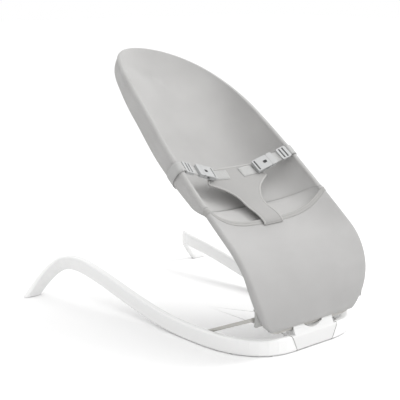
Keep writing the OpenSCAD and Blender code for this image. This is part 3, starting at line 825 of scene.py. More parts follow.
class Finishes:
    """Every finish of the seat, made once."""

    def __init__(self) -> None:
        """Makes the materials."""
        self.seat = ClothFinish("seat_cloth", (0.61, 0.605, 0.595), (0.395, 0.39, 0.385),
                                depth=0.6).make()
        self.binding = ClothFinish("binding_cloth", (0.49, 0.485, 0.475), (0.41, 0.405, 0.395),
                                   pitch=1.1, slant=0.0, depth=0.15).make()
        self.panel = ClothFinish("panel_cloth", (0.565, 0.56, 0.555),
                                 (0.365, 0.36, 0.355), depth=0.6).make()
        self.crotch = ClothFinish("crotch_cloth", (0.42, 0.415, 0.405), (0.345, 0.34, 0.335),
                                  pitch=1.6, depth=0.2).make()
        self.band = ClothFinish("rim_band_binding", (0.43, 0.425, 0.415),
                                (0.36, 0.355, 0.345), pitch=1.1, slant=0.0,
                                depth=0.15).make()
        self.webbing = ClothFinish("harness_webbing", (0.57, 0.57, 0.56), (0.43, 0.43, 0.425),
                                   pitch=1.7, rib=1.0, slant=0.0, depth=0.3,
                                   roughness=0.75).make()
        self.thread = PlasticFinish("sewing_thread", (0.62, 0.62, 0.60), (0.66, 0.66, 0.64),
                                    roughness=0.7, depth=0.01).make()
        # Dark seam thread: the stitches are real, their dark colour is painted shade for the
        # grooves of the fold, rim band and crotch seams.
        self.seam = PlasticFinish("seam_thread_painted_shade", (0.27, 0.27, 0.265), (0.30, 0.30, 0.295),
                                  roughness=0.8, depth=0.01).make()
        self.shell = PlasticFinish("white_shell_plastic", (0.95, 0.95, 0.945),
                                   (0.96, 0.96, 0.955), roughness=0.26, spread=0.10,
                                   coat=0.25).make()
        # Darker copy of the white shell plastic for the hub shells: painted shade on the hub's
        # front faces. Its sharp convex edges stay near the shell's white.
        self.hub = PlasticFinish("white_hub_plastic", (0.73, 0.73, 0.725),
                                 (0.88, 0.88, 0.875), roughness=0.30, spread=0.10,
                                 coat=0.2).make()
        self.wire = PlasticFinish("powder_coated_wire", (0.50, 0.49, 0.46), (0.58, 0.57, 0.55),
                                  roughness=0.42, grain=900.0, depth=0.05).make()
        self.steel = PlasticFinish("plain_steel", (0.55, 0.55, 0.54), (0.75, 0.75, 0.74),
                                   roughness=0.3, metal=1.0, grain=1200.0).make()
        self.rubber = PlasticFinish("pad_rubber_grey", (0.34, 0.34, 0.33), (0.40, 0.40, 0.39),
                                    roughness=0.8, depth=0.06).make()
        self.buckle = PlasticFinish("buckle_moulding", (0.42, 0.425, 0.425),
                                    (0.52, 0.525, 0.525), roughness=0.38).make()
        # Grey bracket plastic; it also colours the painted shadow lines in the hub joints.
        self.grey = PlasticFinish("bracket_moulding", (0.36, 0.36, 0.35), (0.44, 0.44, 0.43),
                                  roughness=0.45).make()

    def of(self, slot: Slot) -> bpy.types.Material:
        """The material of a carried-over part's slot."""
        return {Slot.SHELL: self.shell, Slot.WIRE: self.wire, Slot.STEEL: self.steel,
                Slot.PAD: self.rubber, Slot.FABRIC: self.seat, Slot.WEBBING: self.webbing,
                Slot.BUCKLE: self.buckle, Slot.GREY: self.grey}[slot]


def dress(piece: bpy.types.Object, material: bpy.types.Material, body: Body
          ) -> bpy.types.Object:
    """Gives a piece its finish and the body it moves with.

    Args:
        piece: The piece.
        material: Its finish.
        body: The body it moves with.

    Returns:
        The same piece.
    """
    piece.data.materials.clear()
    piece.data.materials.append(material)
    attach(piece, body.value)
    LOG.info("%s: %s on %s", piece.name, material.name, body.value)
    return piece


# -------------------------------------------------------------- seat cloth
@dataclass
class SeatSling:
    """The deep trough of cloth from under the rim to the head.

    Its edge is turned over the wires and runs down outside them as a side
    wall, which is sewn to the trough's floor.
    """

    start: float = 240.0
    fold_side: float = 290.0
    fold_mid: float = 316.0
    shoulder_s: float = 560.0
    head_mid: float = 700.0
    head_ease: float = 1.7
    depth: float = 72.0
    fold_depth: float = 48.0
    fold_lip: float = 4.0
    rim_depth: float = 27.0
    deepen_run: float = 160.0
    deepen_pow: float = 1.8
    head_lift: float = 0.62
    head_lifts: Ramp = Ramp(440.0, 290.0)
    roll_r: float = 6.4
    roll_tuck: float = 0.9
    tuck_s: float = 286.0
    roll_end: float = -30.0
    roll_points: int = 11
    leave_seat: float = 160.0
    leave_head: float = 114.0
    leaves: Ramp = Ramp(450.0, 250.0)
    floor_pow: float = 3.8
    head_pow: float = 2.2
    wall_full: float = 0.62
    softens: Ramp = Ramp(470.0, 300.0)
    spreads: Ramp = Ramp(430.0, 300.0)
    spread_pow: float = 0.6
    crease: float = 3.5
    crease_run: float = 6.0
    pucker: float = 0.5
    pucker_turn: float = 0.45
    wall_first: float = 2.0
    wall_low: float = 30.0
    wall_deep: float = 46.0
    wall_starts: Ramp = Ramp(257.0, 65.0)
    wall_run: float = 162.0
    wall_pow: float = 1.6
    wall_lift: float = 8.0
    wall_lifts: Ramp = Ramp(600.0, 120.0)
    bulge: float = 5.0
    inset_seat: float = 8.0
    inset_head: float = 4.0
    insets: Ramp = Ramp(560.0, 160.0)
    under_w: float = 46.0
    under_dip: float = 3.0
    under_gap: float = 2.6
    thick: float = 1.4
    seam_over: int = 8
    rows: int = 190
    turns: tuple[float, ...] = (90, 89.6, 88.6, 86.6, 83.5, 79.5, 74.5, 69, 63, 57, 51, 45, 39,
                                33, 27, 21.5, 16.5, 12, 8, 4.5, 2, 0)
    wall_shares: tuple[float, ...] = (0.1, 0.22, 0.36, 0.5, 0.64, 0.78, 0.9, 1.0)
    under_shares: tuple[float, ...] = (0.06, 0.16, 0.3, 0.46, 0.64, 0.82, 1.0)

    def spine(self, s: float) -> float:
        """Place on the middle line that belongs to a place on the side.

        Args:
            s: Place of the wire at the side.

        Returns:
            The place on the middle line.
        """
        if s < self.fold_side:
            return mix(self.start, self.fold_mid, (s - self.start)
                       / (self.fold_side - self.start))
        if s < self.shoulder_s:
            return mix(self.fold_mid, self.shoulder_s,
                       (s - self.fold_side) / (self.shoulder_s - self.fold_side))
        u = (s - self.shoulder_s) / (CURVE.run - self.shoulder_s)
        return mix(self.shoulder_s, self.head_mid, 1 - (1 - u) ** self.head_ease)

    def floor(self, q: float) -> float:
        """Depth of the trough's middle.

        Args:
            q: Place on the middle line.

        Returns:
            The depth, measured from the wires' plane.
        """
        if q < self.fold_mid:
            share = max(0.0, (q - self.start) / (self.fold_mid - self.start))
            return mix(self.rim_depth, self.fold_depth + self.fold_lip, share)
        near = max(0.0, 1 - (q - self.fold_side) / self.deepen_run) ** self.deepen_pow
        deep = self.depth - (self.depth - self.fold_depth) * near
        return deep * (1 - self.head_lift * self.head_lifts.at(q))

    def wall_depth(self, s: float) -> float:
        """Depth of the side wall's lower corner.

        Args:
            s: Place of the wire at the side.

        Returns:
            The depth under the wire.
        """
        from_s = self.wall_starts.start + self.wall_starts.run
        if s < from_s:
            return self.wall_first + (self.wall_low - self.wall_first) * self.wall_starts.at(s)
        near = max(0.0, 1 - (s - from_s) / self.wall_run) ** self.wall_pow
        return (mix(self.wall_low, self.wall_deep, 1 - near)
                - self.wall_lift * self.wall_lifts.at(s))

    def row(self, x: float, s: float, nx: float, ns: float) -> list[np.ndarray]:
        """Points of one row from the middle to the side wall's lower edge.

        Args:
            x: Place of the wire across the seat.
            s: Place of the wire along the seat.
            nx: Outward direction across.
            ns: Outward direction along.

        Returns:
            The row's points in metres.
        """
        q = self.spine(s)
        deep = self.floor(q)
        head = self.spreads.at(s)
        power = mix(self.floor_pow, self.head_pow, self.softens.at(s))
        full = mix(self.wall_full, 1.0, self.softens.at(s))
        leave = math.radians(mix(self.leave_seat, self.leave_head, self.leaves.at(s)))
        r = self.roll_r - (self.roll_tuck if s < self.tuck_s else 0.0)
        back = r * math.cos(leave)
        px, ps, rise = x + back * nx, s + back * ns, r * math.sin(leave)

        def inner(v: float, e: float) -> tuple[float, float, float]:
            """A place on the inner face.

            Args:
                v: Share across, from the middle to the wire.
                e: Share of the depth.

            Returns:
                x, s and n.
            """
            weight = mix(1 - e ** self.spread_pow, v, head)
            near = math.exp(-abs(q - self.fold_mid) / self.crease_run)
            pull = (self.pucker * math.sin(px * v * self.pucker_turn) * near
                    - self.crease * near)
            return px * v, mix(q, ps, weight), rise - (deep + rise - pull) * e

        points = []
        for turn in self.turns:
            a = math.radians(turn)
            v = max(0.0, math.cos(a)) ** (2 / power) if turn < 90 else 0.0
            points.append(CURVE.point(*self.swap(inner(v, bowl(v, power, full)))))
        for a in np.linspace(leave, math.radians(self.roll_end), self.roll_points):
            points.append(CURVE.point(s + r * math.cos(a) * ns, x + r * math.cos(a) * nx,
                                      r * math.sin(a)))
        low = self.wall_depth(s)
        grown = min(1.0, low / self.wall_low)
        inset = mix(self.inset_seat, self.inset_head, self.insets.at(s)) * grown
        swell = self.bulge * grown
        for share in self.wall_shares:
            d = mix(r * 0.9, -inset, share ** 1.5) + swell * math.sin(math.pi * share) ** 0.8
            points.append(CURVE.point(s + d * ns, x + d * nx,
                                      mix(-r * 0.5, -low, math.sin(math.pi / 2 * share))))
        under = self.under_w * grown
        for share in self.under_shares:
            d = -inset - under * share
            v = max(0.0, 1 + (d + r) / max(60.0, px))
            fx, fs, fn = inner(v, bowl(v, power, full))
            t, floor = smooth(share), fn - self.under_gap
            points.append(CURVE.point(
                mix(s + d * ns, fs, t), mix(max(0.0, x + d * nx), fx, t),
                min(mix(-low - self.under_dip * share, floor, t), floor)))
        return points

    @staticmethod
    def swap(place: tuple[float, float, float]) -> tuple[float, float, float]:
        """Turns x, s, n into s, x, n."""
        return place[1], place[0], place[2]

    def build(self, finishes: Finishes) -> bpy.types.Object:
        """Makes the trough and dresses it.

        Args:
            finishes: The seat's finishes.

        Returns:
            The trough.
        """
        outline = CURVE.outline(self.start, self.rows)
        rows = [self.row(*place) for place in outline]
        lengths = np.concatenate(([0.0], np.cumsum(
            [math.hypot(b[0] - a[0], b[1] - a[1]) for a, b in zip(outline, outline[1:])])))
        sling, width, length, area = cloth_from_half(
            "seat_sling_cloth", rows, list(lengths * MM))
        weld(sling)
        thicken(sling, self.thick)
        dress(sling, finishes.seat, Body.SEAT)
        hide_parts("back_sling", "seat_pocket")
        return sling

    def seam(self, finishes: Finishes) -> bpy.types.Object:
        """Makes the sewn seam across the fold, in dark stitches that also paint the crease's
        shade.

        Args:
            finishes: The seat's finishes.

        Returns:
            The seam's stitches.
        """
        x, s, nx, ns = min(CURVE.outline(self.start, self.rows * 4),
                           key=lambda place: abs(place[1] - self.fold_side))
        line = self.row(x, s, nx, ns)[:len(self.turns) + self.seam_over]
        half = [np.array(p) + CURVE.out(s) * 0.3 * MM for p in line]
        whole = both_sides(half)
        row = stitches("fold_seam_stitches", whole, [CURVE.out(s)] * len(whole),
                       pitch=3.0, length=2.6, thick=0.9)
        # Dark stitches: painted shade along the crease of the fold.
        return dress(row, finishes.seam, Body.SEAT)


@dataclass
class FrontPanel:
    """The cloth over the knee of the frame, with its rim band and hem."""

    rim_mid: float = 254.0
    rim_side: float = 285.0
    rim_pow: float = 3.3
    rim_bend: float = 3.5
    rim_depth: float = 30.0
    rim_start: float = 90.0
    top_n: float = 7.0
    hem_s: float = 10.0
    corner: float = 14.0
    roll_r: float = 7.0
    rack_cover: float = 2.2
    rack_starts: Ramp = Ramp(0.0, 30.0)
    rack_ends: Ramp = Ramp(80.0, 60.0)
    foot_n: float = 9.4
    sag: float = 1.2
    sag_run: float = 150.0
    thick: float = 1.4
    band_thick: float = 0.8
    seam_n: float = 1.0
    tuck: float = 1.5
    hem_r: float = 2.3
    hem_out: float = 0.6
    hem_n: float = -1.6
    rows: int = 90
    steps: tuple[float, ...] = (0, 0.09, 0.18, 0.27, 0.36, 0.45, 0.54, 0.62, 0.69, 0.75, 0.8,
                                0.85, 0.89, 0.925, 0.955, 0.98, 1)
    wrap: tuple[float, ...] = (72, 54, 36, 18, 0, -18, -36, -54, -72, -90, -108)
    band_wrap: tuple[float, ...] = (72, 54, 36, 18, 0, -18, -36)
    band_section: tuple[tuple[float, float], ...] = (
        (-11.0, 0.1), (-10.6, 0.6), (-9.4, 0.8), (-7, 0.8), (-5, 0.9), (-3.4, 1.5),
        (-1.6, 1.9), (0, 1.4), (1.1, 0.2), (1.4, -1.4), (0.8, -3.4), (0, -7.0))
    band_seams: tuple[float, float] = (-9.6, -4.6)
    hem_wrap: tuple[float, ...] = (60, 30, 0, -30)

    def side(self, s: float) -> float:
        """Half width of the panel at s, over the wire's middle."""
        return CURVE.half(s) - self.corner * max(0.0, 1 - s / self.corner) ** 2

    def rim(self, v: float) -> float:
        """Where the rim lies along the frame at share v across."""
        return mix(self.rim_mid, self.rim_side, min(1.0, v) ** self.rim_pow)

    def top(self, s: float, v: float) -> float:
        """Height of the panel's face.

        Args:
            s: Place along the frame.
            v: Share across, from the middle to the wire.

        Returns:
            The height.
        """
        fade = smooth((s - self.rim_start) / (self.rim_mid - self.rim_start))
        sag = self.sag * math.sin(math.pi * min(1.0, s / self.sag_run)) * (1 - v ** 4)
        return (mix(self.foot_n, self.top_n, self.rack_starts.at(s)) - sag
                - self.rim_depth * fade * (1 - min(1.0, v) ** self.rim_bend))

    def face_row(self, s_of: Callable[[float], float], lift: float = 0.0,
                 wrap: Sequence[float] | None = None) -> list[np.ndarray]:
        """One row across the panel, from the middle and round the wire.

        Args:
            s_of: Gives the place along the frame for a share across.
            lift: Height above the panel's face.
            wrap: Angles round the wire, in degrees.

        Returns:
            The row's points in metres.
        """
        points = []
        for v in self.steps:
            s = s_of(v)
            points.append(CURVE.point(s, v * self.side(s), self.top(s, v) + lift))
        s = s_of(1.0)
        wide = self.rack_cover * self.rack_starts.at(s) * (1 - self.rack_ends.at(s))
        r = self.roll_r + lift + wide
        rise = self.top(s, 1.0) - self.roll_r - wide
        for deg in self.wrap if wrap is None else wrap:
            a = math.radians(deg)
            points.append(CURVE.point(s, self.side(s) + r * math.cos(a),
                                      r * math.sin(a) + rise))
        return points

    def build(self, finishes: Finishes) -> list[bpy.types.Object]:
        """Makes the panel, its rim band, its hem and their seams.

        Args:
            finishes: The seat's finishes.

        Returns:
            The panel, the band and the hem.
        """
        rows = [self.face_row(lambda v, t=t: mix(self.hem_s, self.rim(v) - self.tuck, t))
                for t in np.linspace(0, 1, self.rows)]
        lengths = [t * (self.rim_mid - self.hem_s) * MM for t in np.linspace(0, 1, self.rows)]
        panel, width, length, area = cloth_from_half("front_panel_cloth", rows, lengths)
        weld(panel)
        thicken(panel, self.thick)
        dress(panel, finishes.panel, Body.SEAT)
        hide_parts("front_panel", "rim_piping")
        band = self.rim_band(finishes)
        hem = self.hem(finishes)
        return [panel, band, hem]

    def rim_band(self, finishes: Finishes) -> bpy.types.Object:
        """Makes the folded band along the rim.

        Args:
            finishes: The seat's finishes.

        Returns:
            The band.
        """
        rows = [self.face_row(lambda v, d=d: self.rim(v) + d, lift, self.band_wrap)
                for d, lift in self.band_section]
        lengths = [d * MM for d, _ in self.band_section]
        band, width, length, area = cloth_from_half("rim_band_cloth", rows, lengths)
        weld(band)
        thicken(band, self.band_thick)
        dress(band, finishes.band, Body.SEAT)
        for index, d in enumerate(self.band_seams):
            half = self.face_row(lambda v, d=d: self.rim(v) + d, self.seam_n,
                                 self.band_wrap[:5])
            whole = both_sides(half)
            ups = [CURVE.out(self.rim_mid)] * len(whole)
            row = stitches(f"rim_band_stitches_{index + 1}", whole, ups, thick=0.4)
            # Dark stitches: painted shade in the grooves of the rim band's seams.
            dress(row, finishes.seam, Body.SEAT)
        return band

    def hem(self, finishes: Finishes) -> bpy.types.Object:
        """Makes the rolled hem along the panel's lower edge.

        Args:
            finishes: The seat's finishes.

        Returns:
            The hem.
        """
        half = self.face_row(lambda v: self.hem_s - self.hem_out, self.hem_n, self.hem_wrap)
        whole = both_sides(half)
        return dress(rope("front_panel_hem", whole, self.hem_r, 0.8,
                          [CURVE.out(0)] * len(whole)),
                     finishes.binding, Body.SEAT)


@dataclass
class CrotchPiece:
    """The narrow piece that rises between the legs and spreads to wings."""

    start: float = 238.0
    end: float = 404.0
    neck_half: float = 25.0
    wing_half: float = 84.0
    top_half: float = 58.5
    neck_s: float = 282.0
    wing_s: float = 369.0
    belly_n: float = -28.9
    neck_n: float = -30.0
    over_n: float = -16.7
    first_n: float = -20.0
    over_s: float = 251.0
    steps_over: Ramp = Ramp(238.0, 7.0)
    falls: Ramp = Ramp(251.0, 58.0)
    rises: Ramp = Ramp(340.0, 40.0)
    crown: float = 1.5
    crown_starts: Ramp = Ramp(262.0, 40.0)
    crown_ends: Ramp = Ramp(400.0, -60.0)
    tip_round: float = 3.0
    widest: float = 200.0
    middle_s: float = 330.0
    thick: float = 2.2
    bead_r: float = 2.6
    bead_flat: float = 0.75
    bead_drop: float = -0.9
    bead_inset: float = 0.4
    edge_share: float = 0.97
    seam_inset: float = 3.6
    seam_lift: float = 0.1
    foot_seams: tuple[float, float] = (241.0, 247.0)
    foot_seam_half: float = 23.0
    rows: int = 70
    cols: int = 24

    def half(self, s: float) -> float:
        """Half width of the piece, with softly rounded wing tips.

        Args:
            s: Place along the frame.

        Returns:
            The half width.
        """
        rise = mix(self.neck_half, self.wing_half,
                   max(0.0, (s - self.neck_s) / (self.wing_s - self.neck_s)) ** 3)
        fall = mix(self.wing_half, self.top_half, (s - self.wing_s) / (self.end - self.wing_s))
        k = self.tip_round
        return -k * math.log(math.exp(-min(rise, self.widest) / k) + math.exp(-fall / k))

    def top(self, s: float, share: float = 0.0) -> float:
        """Height of the piece's face.

        Args:
            s: Place along the frame.
            share: Share across, from the middle to the edge.

        Returns:
            The height.
        """
        if s < self.over_s:
            n = mix(self.first_n, self.over_n, self.steps_over.at(s))
        else:
            n = mix(mix(self.over_n, self.neck_n, self.falls.at(s)), self.belly_n,
                    self.rises.at(s))
        crown = (self.crown * (1 - share * share) * self.crown_starts.at(s)
                 * self.crown_ends.at(s))
        return n + crown

    def edge(self, side: int, inset: float, lift: float) -> list[np.ndarray]:
        """A line along one edge.

        Args:
            side: 1 for the sitter's left, -1 for the right.
            inset: Distance in from the edge in millimetres.
            lift: Height above the face in millimetres.

        Returns:
            The line's points in metres.
        """
        return [CURVE.point(s, side * (self.half(s) - inset), self.top(s, self.edge_share) + lift)
                for s in np.linspace(self.start + 1, self.end - 1, self.rows)]

    def build(self, finishes: Finishes) -> list[bpy.types.Object]:
        """Makes the piece with its bound edges and stitching.

        Args:
            finishes: The seat's finishes.

        Returns:
            The cloth, followed by its bindings and stitches.
        """
        points, spots = [], []
        for s in self.start + (self.end - self.start) * np.linspace(0, 1, self.rows) ** 1.2:
            for share in np.linspace(-1, 1, self.cols + 1):
                w = self.half(float(s)) * share
                points.append(CURVE.point(float(s), w, self.top(float(s), share)))
                spots.append((w * MM, float(s) * MM))
        faces = grid_faces(self.rows, self.cols + 1)
        piece = new_piece("crotch_piece_cloth", points, faces, spots)
        thicken(piece, self.thick)
        dress(piece, finishes.crotch, Body.SEAT)
        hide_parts("crotch_piece")
        made, up = [piece], CURVE.out(self.middle_s)
        for side, word in ((1, "left"), (-1, "right")):
            line = self.edge(side, self.bead_inset, self.bead_drop)
            bead = rope(f"crotch_binding_{word}", line, self.bead_r, self.bead_flat,
                        [up] * len(line))
            made.append(dress(bead, finishes.binding, Body.SEAT))
            line = self.edge(side, self.seam_inset, self.seam_lift)
            row = stitches(f"crotch_stitches_{word}", line, [up] * len(line))
            # Dark stitches: painted shade in the groove of the crotch edge seam.
            made.append(dress(row, finishes.seam, Body.SEAT))
        top = [CURVE.point(self.end - self.bead_inset, x,
                           self.top(self.end, 0.9) + self.bead_drop)
               for x in np.linspace(-self.top_half, self.top_half, 40)]
        bead = rope("crotch_binding_top", top, self.bead_r, self.bead_flat,
                    [up] * len(top))
        made.append(dress(bead, finishes.binding, Body.SEAT))
        for index, s in enumerate(self.foot_seams):
            line = [CURVE.point(s, x, self.top(s) + self.seam_lift)
                    for x in np.linspace(-self.foot_seam_half, self.foot_seam_half, 12)]
            row = stitches(f"crotch_foot_stitches_{index + 1}", line,
                           [CURVE.out(s)] * len(line))
            # Dark stitches: painted shade in the groove of the crotch foot seam.
            made.append(dress(row, finishes.seam, Body.SEAT))
        return made


# ----------------------------------------------------------------- harness
@dataclass
class WaistStrap:
    """One side's webbing: sewn tab, pulled strap and the loop round the wire."""

    side: Side
    inner: tuple[float, float, float] = (389.0, 60.0, -26.0)
    outer: tuple[float, float, float] = (398.0, 150.0, 2.5)
    wide: float = 25.0
    thick: float = 1.2
    tab_reach: tuple[float, float] = (-42.0, -1.0)
    tab_n: float = -2.0
    strap_reach: tuple[float, float] = (49.3, 77.2)
    strap_n: float = 0.6
    box_reach: tuple[float, float] = (-38.0, -17.0)
    box_half: float = 9.0
    box_n: float = -1.25
    loop_s: float = 398.0
    loop_line: tuple[tuple[float, float], ...] = (
        (-9.0, 3.4), (-9.1, 5.6), (-8.0, 7.6), (-5.0, 8.6), (-1.5, 8.6), (2.0, 8.2),
        (5.3, 6.6), (8.0, 4.0), (9.7, 0.2), (10.9, -5.0), (11.2, -11.0), (10.6, -18.0),
        (8.6, -26.0), (4.8, -33.5), (-0.2, -40.0), (-5.6, -44.8), (-10.6, -48.4))

    def place(self, local: Sequence[float], flat: bool = False) -> np.ndarray:
        """A point of the strap's own frame, in metres.

        Args:
            local: Distance outwards, up the seat and out of it in millimetres.
            flat: Whether the point follows the crotch piece, not the strap.

        Returns:
            Its place in the row frame.
        """
        dx = self.outer[1] - self.inner[1]
        ds = self.outer[0] - self.inner[0]
        dn = self.outer[2] - self.inner[2]
        turn, tilt = math.atan2(ds, dx), math.atan2(dn, math.hypot(dx, ds))
        move = (Matrix.Rotation(math.radians(CURVE.profile(self.inner[0])[2]), 3, "X")
                @ Matrix.Rotation(turn, 3, "Z"))
        if not flat:
            move = move @ Matrix.Rotation(-tilt, 3, "Y")
        p = CURVE.point(self.inner[0], self.inner[1], self.inner[2]) + np.array(
            move @ Vector(tuple(local))) * MM
        p[0] *= self.side.value
        return p

    def band(self, name: str, xs: Sequence[float], z: float, flat: bool
             ) -> bpy.types.Object:
        """Makes a straight piece of webbing.

        Args:
            name: Name of the piece.
            xs: Distances outwards in millimetres.
            z: Height in millimetres.
            flat: Whether it follows the crotch piece.

        Returns:
            The webbing.
        """
        path = [self.place((x, 0, z), flat) for x in xs]
        ahead = self.place((0, 1, z), flat) - self.place((0, 0, z), flat)
        return ribbon(name, path, [ahead] * len(path), self.wide, self.thick, True)

    def build(self, finishes: Finishes) -> list[bpy.types.Object]:
        """Makes this side's webbing and its stitching.

        Args:
            finishes: The seat's finishes.

        Returns:
            The tab, the strap, the loop and the rows of stitches.
        """
        word = self.side.word
        tab = self.band(f"{word}_tab_webbing", np.linspace(*self.tab_reach, 14), self.tab_n, True)
        dress(tab, finishes.webbing, Body.SEAT)
        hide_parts(f"{word}_sewn_tab")
        strap = self.band(f"{word}_strap_webbing", np.linspace(*self.strap_reach, 12),
                          self.strap_n, False)
        insert = Body.LEFT_INSERT if self.side is Side.LEFT else Body.RIGHT_INSERT
        dress(strap, finishes.webbing, insert)
        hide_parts(f"{word}_waist_strap")
        wire_x = CURVE.half(self.loop_s)
        path = []
        for dx, n in self.loop_line:
            p = CURVE.point(self.loop_s, wire_x + dx, n)
            p[0] *= self.side.value
            path.append(p)
        along = CURVE.point(self.loop_s + 1, 0) - CURVE.point(self.loop_s, 0)
        loop = ribbon(f"{word}_loop_webbing", path, [along] * len(path), self.wide,
                      self.thick, True)
        dress(loop, finishes.webbing, Body.SEAT)
        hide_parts(f"{word}_edge_loop")
        return [tab, strap, loop, *self.stitching(finishes)]

    def stitching(self, finishes: Finishes) -> list[bpy.types.Object]:
        """Makes the box and cross sewn through the tab.

        Args:
            finishes: The seat's finishes.

        Returns:
            The rows of stitches.
        """
        (a, b), w, z = self.box_reach, self.box_half, self.box_n
        lines = [((a, -w), (b, -w)), ((b, -w), (b, w)), ((b, w), (a, w)), ((a, w), (a, -w)),
                 ((a, -w), (b, w)), ((a, w), (b, -w))]
        up = self.place((0, 0, 1), True) - self.place((0, 0, 0), True)
        made = []
        for index, (p, q) in enumerate(lines):
            path = [self.place((mix(p[0], q[0], t), mix(p[1], q[1], t), z), True)
                    for t in np.linspace(0, 1, 5)]
            row = stitches(f"{self.side.word}_tab_stitches_{index + 1}", path,
                           [up / np.linalg.norm(up)] * 5, pitch=2.4, length=1.8)
            made.append(dress(row, finishes.thread, Body.SEAT))
        return made


# -------------------------------------------------------------- hard parts
@dataclass
class HardParts:
    """The moulded, bent and turned parts that are carried over as they are."""

    sharp_angle: float = 32.0
    # Hub shells that take the darker, painted-shade copy of the white plastic.
    shaded_hub_nodes: tuple[str, ...] = ("hub_front_shell", "hub_rear_shell")
    # Path of the painted shadow line in the gap where hub and leg meet.
    joint_line: tuple[tuple[float, float, float], ...] = (
        (50.9, -327.2, 1.4), (51.3, -329.0, 2.6), (52.0, -329.8, 4.4), (54.9, -330.0, 10.5),
        (58.0, -330.0, 17.3), (61.1, -330.0, 24.2), (63.9, -329.9, 30.4),
        (65.1, -329.2, 32.6), (65.7, -328.0, 33.8), (66.0, -325.0, 34.1),
        (66.0, -319.0, 34.1))
    joint_shadow_r: float = 0.75

    def build(self, finishes: Finishes) -> None:
        """Dresses every part from its slot and draws a thin grey line of painted shadow in the
        joint of hub and legs.

        Args:
            finishes: The seat's finishes.
        """
        slots = {part["node"]: Slot(part["material_slot"])
                 for part in frame["record"]["subparts"]}
        for name, node in frame["nodes"].items():
            node.data.materials.clear()
            # Hub shells get the painted-shade copy of the white plastic.
            hub = name in self.shaded_hub_nodes
            node.data.materials.append(finishes.hub if hub else finishes.of(slots[name]))
            node.data.shade_smooth()
            node.data.set_sharp_from_angle(angle=math.radians(self.sharp_angle))
            LOG.info("%s: %s", name, slots[name].value)
        # Thin grey ropes in the hub-leg joints: painted shadow of the joint gap.
        for side in Side:
            path = [np.array((side.value * x, y, z)) * MM for x, y, z in self.joint_line]
            line = rope(f"{side.word}_hub_joint_line", path, self.joint_shadow_r, 1.0,
                        [np.array((0.0, -1.0, 0.0))] * len(path))
            dress(line, finishes.grey, Body.BASE)


# ------------------------------------------------------------------ studio
@dataclass(frozen=True)
class Lamp:
    """A large soft square lamp; size is in metres and power in watts."""

    name: str
    place: tuple[float, float, float]
    size: float
    power: float

    def hang(self, aim: Sequence[float]) -> None:
        """Adds the lamp to the scene.

        Args:
            aim: What it points at.
        """
        data = bpy.data.lights.new(self.name, "AREA")
        data.shape, data.size, data.energy = "SQUARE", self.size, self.power
        lamp = bpy.data.objects.new(self.name, data)
        lamp.location = self.place
        way = Vector(aim) - Vector(self.place)
        lamp.rotation_mode = "QUATERNION"
        lamp.rotation_quaternion = way.to_track_quat("-Z", "Y")
        bpy.context.scene.collection.objects.link(lamp)


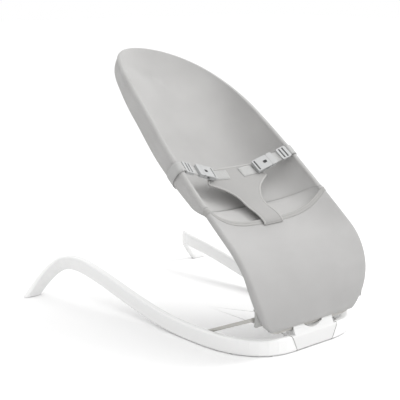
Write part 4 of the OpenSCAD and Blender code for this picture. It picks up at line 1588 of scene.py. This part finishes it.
@dataclass
class Studio:
    """Pale floor, soft light and the camera."""

    eye: tuple[float, float, float] = (-1.42108, -1.60897, 0.71628)
    right: tuple[float, float, float] = (0.75384, -0.65706, 0.0)
    up: tuple[float, float, float] = (0.14107, 0.16185, 0.97668)
    lens: float = 90.0
    horizon: float = 0.44
    zenith: float = 1.29
    floor_tone: float = 0.975
    floor_bounce: float = 0.78
    floor_half: float = 14.0
    aim: tuple[float, float, float] = (0.0, 0.0, 0.2)
    lamps: tuple[Lamp, ...] = (Lamp("key_lamp", (2.2, -1.2, 2.8), 1.6, 44.0),
                               Lamp("fill_lamp", (1.0, -3.0, 0.9), 1.8, 9.0))

    def camera(self) -> None:
        """Sets up the camera."""
        data = bpy.data.cameras.new("studio_camera")
        data.lens, data.sensor_width = self.lens, 36.0
        data.clip_start, data.clip_end = 0.05, 60.0
        camera = bpy.data.objects.new("studio_camera", data)
        bpy.context.scene.collection.objects.link(camera)
        right, up = Vector(self.right).normalized(), Vector(self.up)
        back = right.cross(up).normalized()
        up = back.cross(right)
        turn = Matrix((right, up, back)).transposed().to_4x4()
        camera.matrix_world = Matrix.Translation(self.eye) @ turn
        bpy.context.scene.camera = camera

    def build(self) -> None:
        """Makes the camera, the floor, the surround and the lamps."""
        self.camera()
        self.floor()
        self.surround()
        for lamp in self.lamps:
            lamp.hang(self.aim)
        view = bpy.context.scene.view_settings
        view.view_transform = "Standard"
        view.look = "None"

    def floor(self) -> None:
        """Makes the floor, which throws back less light than it shows."""
        half = self.floor_half
        floor = new_piece("studio_floor", [(-half, -half, 0), (half, -half, 0),
                                           (half, half, 0), (-half, half, 0)],
                          [(0, 1, 2, 3)])
        made, tree, shader = start_material("studio_floor_paint")
        solid = tree.nodes.new("ShaderNodeTexCoord")
        tone = use_group(tree, EFFECTS.tone, Place=solid.outputs["Object"], Broad=0.8,
                         Fine=30.0, Amount=0.2)
        t, u, low = self.floor_tone, self.floor_tone - 0.01, self.floor_bounce
        seen = blend_colours(tree, tone.outputs["Tone"], (u, u, u), (t, t, t))
        ray = tree.nodes.new("ShaderNodeLightPath")
        pick = tree.nodes.new("ShaderNodeMix")
        pick.data_type = "RGBA"
        tree.links.new(ray.outputs["Is Camera Ray"], pick.inputs[0])
        pick.inputs[6].default_value = (low, low, low, 1)
        tree.links.new(seen, pick.inputs[7])
        tree.links.new(pick.outputs[2], shader.inputs["Base Color"])
        shader.inputs["Roughness"].default_value = 0.85
        shader.inputs["Specular IOR Level"].default_value = 0.1
        floor.data.materials.append(made)

    def surround(self) -> None:
        """Makes the soft light round the seat, white where it is seen."""
        world = bpy.data.worlds.new("studio_surround")
        world.use_nodes = True
        bpy.context.scene.world = world
        nodes, links = world.node_tree.nodes, world.node_tree.links
        back = nodes["Background"]
        path, choose = nodes.new("ShaderNodeLightPath"), nodes.new("ShaderNodeMix")
        choose.data_type = "FLOAT"
        way, split = nodes.new("ShaderNodeTexCoord"), nodes.new("ShaderNodeSeparateXYZ")
        links.new(way.outputs["Generated"], split.inputs[0])
        sky = nodes.new("ShaderNodeMapRange")
        sky.inputs["From Min"].default_value = 0.0
        sky.inputs["From Max"].default_value = 0.8
        sky.inputs["To Min"].default_value = self.horizon
        sky.inputs["To Max"].default_value = self.zenith
        links.new(split.outputs["Z"], sky.inputs["Value"])
        links.new(path.outputs["Is Camera Ray"], choose.inputs[0])
        links.new(sky.outputs[0], choose.inputs[2])
        choose.inputs[3].default_value = 1.0
        links.new(choose.outputs[0], back.inputs["Strength"])
        back.inputs["Color"].default_value = (1.0, 1.0, 1.0, 1.0)


def main() -> None:
    """Builds the seat and the studio."""
    logging.basicConfig(level=logging.INFO, format="%(message)s")
    finishes = Finishes()
    Studio().build()
    HardParts().build(finishes)
    sling = SeatSling()
    sling.build(finishes)
    sling.seam(finishes)
    FrontPanel().build(finishes)
    CrotchPiece().build(finishes)
    for side in Side:
        WaistStrap(side).build(finishes)


if __name__ == "__main__":
    main()
